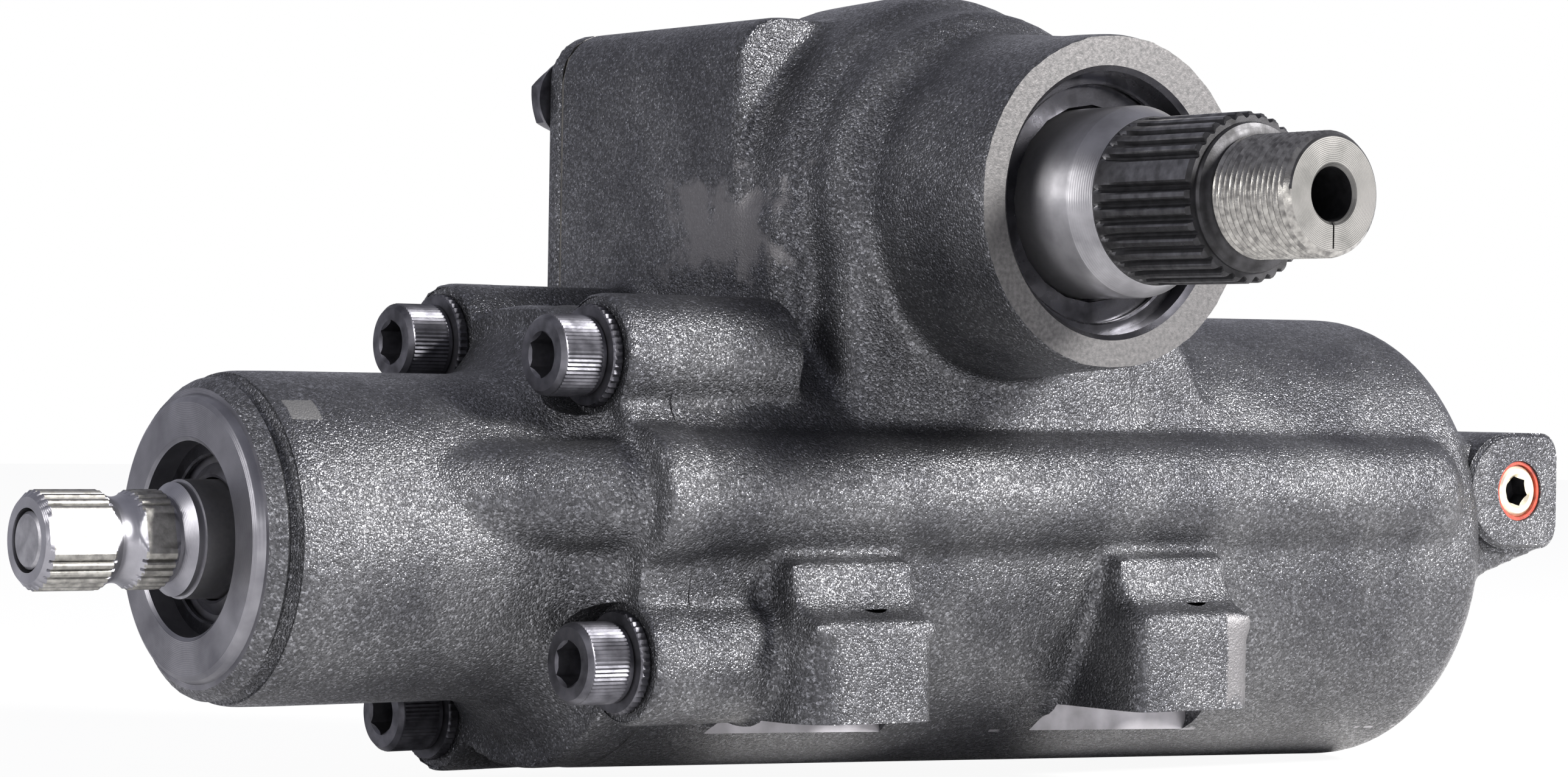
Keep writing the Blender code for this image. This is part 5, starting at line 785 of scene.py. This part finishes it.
def sector_shaft():
    def serrated(distance, angle):
        place = round(angle / (2 * math.pi) * TEETH * 8) % 8
        depth = (0.0, 0.0, 0.25, 0.85, 1.0, 0.85, 0.25, 0.0)[place] * TOOTH_DEPTH
        # One blank tooth fixes the arm's place on the shaft
        if abs(math.atan2(math.sin(angle - BLANK_TOOTH), math.cos(angle - BLANK_TOOTH))) < math.pi / TEETH:
            depth = 0.0
        # The cutter leaves the work in an arc, so each flute starts as a point
        past = min(1.0, max(0.0, (distance + 97.0) / 8.8))
        lift = TOOTH_DEPTH * 1.05 * (1.0 - math.sqrt(1.0 - past * past))
        chamfer = max(0.0, SPLINE_TIP_Y + 0.8 - distance)
        return TOOTH_R - max(max(0.0, depth - lift), chamfer)
    spline = fluted([SPLINE_TIP_Y, SPLINE_TIP_Y + 0.4, SPLINE_TIP_Y + 0.8, -97.0, -95.0, -93.0, -91.5, -90.2, -89.2, -88.4,
                     -87.4, -85.4], TEETH * 8, serrated, SECTOR_LINE)
    shapes = [spline]
    shapes.append(turned([(-118.4, 10.6), (-117.0, 10.8), (-116.9, 13.2), (-116.6, 14.2), (-116.0, 14.5), (-115.0, 14.6)],
                         SECTOR_LINE, 96))
    shapes.append(turned([(-89.4, 15.6), (-88.2, 16.6), (-87.9, 16.9), (-83.4, 18.8), (-83.1, 19.0), (-16.5, 19.0), (-16.5, 23.0), (23.5, 23.0),
                          (23.5, 17.0), (49.5, 17.0), (50.5, 16.0)], SECTOR_LINE))
    obj = piece("sector_output_shaft", thread(12.0, 0.92, 1.5, SHAFT_TIP_Y - 0.5, -117.6, SECTOR_LINE))
    teeth = node_slice("sector_shaft", block((100, CHAMBER_NEAR + 0.7, -40), (300, 23.6, 160)))
    carve(obj, turned([(SHAFT_TIP_Y, 10.8), (SHAFT_TIP_Y + 1.3, 12.2), (-116.5, 12.2)], SECTOR_LINE, 128),
          operation="INTERSECT")
    carve(obj, turned([(SHAFT_TIP_Y - 1.0, 6.9), (SHAFT_TIP_Y + 0.7, 5.2), (SHAFT_TIP_Y + 14.0, 5.2)], SECTOR_LINE, 48),
          block((SECTOR_X - 0.2, SHAFT_TIP_Y - 1.0, SECTOR_Z - 10.2), (SECTOR_X + 0.2, SHAFT_TIP_Y + 0.8, SECTOR_Z - 5.0)))
    obj = fuse(fuse(obj, piece("spline_and_journal", *shapes)), teeth)

    def choose(centre, normal):
        reach = math.hypot(centre.x - SECTOR_X, centre.z - SECTOR_Z)
        if centre.y < SHAFT_TIP_Y + 0.9 and reach < 10.9:
            return 3
        # Painted shade: the tip's hole, the thread's roots and the spline's flutes are painted near black as shade; the
        # spline's end face takes the same dark finish
        if reach < 7.0 and centre.y < -120.0:
            return 4
        if centre.y < -117.1 and reach < 12.3:
            return 1 if reach > 11.2 else 4
        if centre.y < SPLINE_TIP_Y + 0.9:
            return 4
        if centre.y < -88.3:
            return 4 if reach < TOOTH_R - 0.35 else 2
        return 0
    return dress(obj, "sector", [JOURNAL, BRIGHT_THREAD, SERRATION, TIP_STEEL, RECESS_SHADE], choose, sharp=17, node="sector_shaft")


def node_slice(name, keep):
    """A merged copy of what a frame node has inside a shape."""
    bm = bmesh.new()
    bm.from_mesh(frame["nodes"][name].data)
    bmesh.ops.remove_doubles(bm, verts=bm.verts, dist=1e-6)
    mesh = bpy.data.meshes.new(name + "_copy")
    bm.to_mesh(mesh)
    bm.free()
    obj = bpy.data.objects.new(name + "_copy", mesh)
    bpy.context.scene.collection.objects.link(obj)
    return carve(obj, keep, operation="INTERSECT")


# Seals and rings

def ring_piece(name, node, body, material, profile, place):
    obj = piece(name, turned(profile, place, ring=True))
    return dress(obj, body, [material], node=node)


def seals():
    low, high = (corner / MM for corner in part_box("sector_oil_seal"))
    ring_piece("sector_shaft_seal", "sector_oil_seal", "housing", RUBBER,
               [(low.y, 26.0), (low.y, 22.6), (low.y + 0.8, 21.6), (low.y + 2.8, 20.4), (low.y + 3.4, 19.3), (high.y - 1.0, 19.6),
                (high.y, 22.4), (high.y, 26.0)], SECTOR_LINE)
    low, high = (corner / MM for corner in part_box("sector_snap_ring"))
    ring_piece("sector_retaining_ring", "sector_snap_ring", "housing", SPRING_STEEL_AND_SHADE,
               [(low.y, 27.5), (low.y, 24.3), (low.y + 0.3, 23.9), (high.y - 0.3, 23.9), (high.y, 24.3), (high.y, 27.5)],
               SECTOR_LINE)
    low, high = (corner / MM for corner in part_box("input_dust_seal"))
    ring_piece("input_dust_lip", "input_dust_seal", "housing", RUBBER,
               [(low.x, 18.4), (low.x, 14.6), (low.x - 1.6, 12.4), (low.x - 1.2, 11.8), (low.x + 1.6, 13.0), (high.x, 13.4),
                (high.x, 18.4)], ALONG_X)
    low, high = (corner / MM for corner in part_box("input_snap_ring"))
    ring_piece("input_retaining_ring", "input_snap_ring", "housing", SPRING_STEEL_AND_SHADE,
               [(low.x, 19.7), (low.x, 16.3), (low.x + 0.3, 15.9), (high.x - 0.3, 15.9), (high.x, 16.3), (high.x, 19.7)],
               ALONG_X)
    low, high = (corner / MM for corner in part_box("passage_plug_seal"))
    ring_piece("plug_sealing_ring", "passage_plug_seal", "housing", RED,
               [(PLUG_FACE + 0.5, 6.6), (PLUG_FACE + 0.5, 5.9), (high.y, 5.9), (high.y, 6.6)], on_y(PLUG_X, PLUG_Z))


def passage_plug():
    low, high = (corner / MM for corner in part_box("passage_plug"))
    obj = piece("socket_plug", turned([(low.y, 5.0), (low.y + 0.7, 5.8), (PLUG_FACE + 6.2, 5.8), (PLUG_FACE + 6.2, 5.2),
                                       (high.y, 5.2)], on_y(PLUG_X, PLUG_Z), 64))
    carve(obj, prism(hexagon(6.0, math.radians(15)), low.y - 1.0, low.y + 4.6, on_y(PLUG_X, PLUG_Z)),
          turned([(low.y - 0.5, 4.4), (low.y + 0.7, 3.1)], on_y(PLUG_X, PLUG_Z), 48))

    def choose(centre, normal):
        # Painted shade: the hex socket is painted near black as shade
        return 1 if centre.y > low.y + 1.0 and math.hypot(centre.x - PLUG_X, centre.z - PLUG_Z) < 4.2 else 0
    return dress(obj, "housing", [BRASS, RECESS_SHADE], choose, node="passage_plug")


# Carried-over nodes keep their shape and take the finish of their material slot
FINISHES = {"cast_iron": IRON, "machined_steel": STEEL, "plated_steel": BAR_STEEL, "black_oxide": BLACK_OXIDE,
            "forged_steel": JOURNAL, "seal_rubber": RUBBER, "red_sealant": RED, "brass": BRASS, "ptfe": PTFE,
            "gasket_fibre": FIBRE}


def finish_nodes():
    for row in frame["record"]["subparts"]:
        obj = frame["nodes"][row["node"]]
        obj.data.materials.clear()
        # The backup washer is painted dark as shade in the boss's opening
        obj.data.materials.append(SPRING_STEEL_AND_SHADE if row["node"] == "sector_backup_washer" else FINISHES[row["material_slot"]])


# Studio

def studio():
    camera = bpy.data.cameras.new("camera")
    camera.sensor_width = SENSOR
    camera.lens = FOCAL_PIXELS / FRAME_PIXELS * SENSOR
    camera.clip_start, camera.clip_end = 0.05, 20.0
    eye = bpy.data.objects.new("camera", camera)
    bpy.context.scene.collection.objects.link(eye)
    right, up = Vector(CAMERA_RIGHT).normalized(), Vector(CAMERA_UP).normalized()
    turn = Matrix((right, up, right.cross(up))).transposed().to_4x4()
    eye.matrix_world = Matrix.Translation(Vector(CAMERA_PLACE) * MM) @ turn
    bpy.context.scene.camera = eye

    # Pale floor under the lowest point
    floor = piece("floor", block((-3000, -3000, -20), (3000, 3000, 0)))
    floor.location.z = cad_box[0].z - 0.0004
    material, tree, shader, place = blank("pale_floor", Roughness=0.9)
    shader.inputs["Base Color"].default_value = colour("F4F4F4")
    output = tree.nodes["Material Output"]
    rays = add_node(tree, "ShaderNodeLightPath")
    seen = add_node(tree, "ShaderNodeMath", {"operation": "MULTIPLY"}, {0: rays.outputs["Is Camera Ray"], 1: 0.93})
    white = add_node(tree, "ShaderNodeEmission", inputs={"Color": grey(1.0), "Strength": 1.0})
    mix = add_node(tree, "ShaderNodeMixShader", inputs={0: seen.outputs[0], 1: shader.outputs[0], 2: white.outputs[0]})
    tree.links.new(mix.outputs[0], output.inputs["Surface"])
    floor.data.materials.append(material)

    world = bpy.data.worlds.new("studio")
    bpy.context.scene.world = world
    world.use_nodes = True
    tree = world.node_tree
    rays = add_node(tree, "ShaderNodeLightPath")
    level = add_node(tree, "ShaderNodeMapRange", inputs={"Value": rays.outputs["Is Camera Ray"], "To Min": 0.58, "To Max": 1.0})
    background = tree.nodes["Background"]
    tint = add_node(tree, "ShaderNodeMix", {"data_type": "RGBA"},
                    {"Factor": rays.outputs["Is Camera Ray"], 6: colour("EAEAF8"), 7: grey(1.0)})
    tree.links.new(tint.outputs[2], background.inputs["Color"])
    tree.links.new(level.outputs[0], background.inputs["Strength"])

    # Soft boxes: the key high on the right, whose reflection runs along every near face, a low one and a far fill
    for name, place, target, size, power in (
            ("key", (820, -860, 560), (190, 0, 10), 0.30, 42.0),
            ("low", (-420, -900, -20), (100, 0, 0), 0.60, 4.0),
            ("left", (-700, -60, 330), (120, 0, 20), 0.60, 5.0)):
        light = bpy.data.lights.new(name, "AREA")
        light.shape = "DISK"
        light.size = size
        light.energy = power
        light.color = colour("FFFCF8")[:3]
        lamp = bpy.data.objects.new(name, light)
        bpy.context.scene.collection.objects.link(lamp)
        lamp.location = Vector(place) * MM
        lamp.rotation_mode = "QUATERNION"
        lamp.rotation_quaternion = (Vector(target) - Vector(place)).to_track_quat("-Z", "Y")
    bpy.context.scene.view_settings.view_transform = "Standard"


finish_nodes()
gear_housing()
valve_housing()
side_cover()
for number, (x, z) in enumerate(COVER_BOLTS, 1):
    cover_bolt(number, x, z)
for number, (y, z) in enumerate(SCREWS, 1):
    socket_screw(number, y, z)
    ribbed_washer(number, y, z)
input_shaft()
torsion_bar()
sector_shaft()
seals()
passage_plug()
studio()
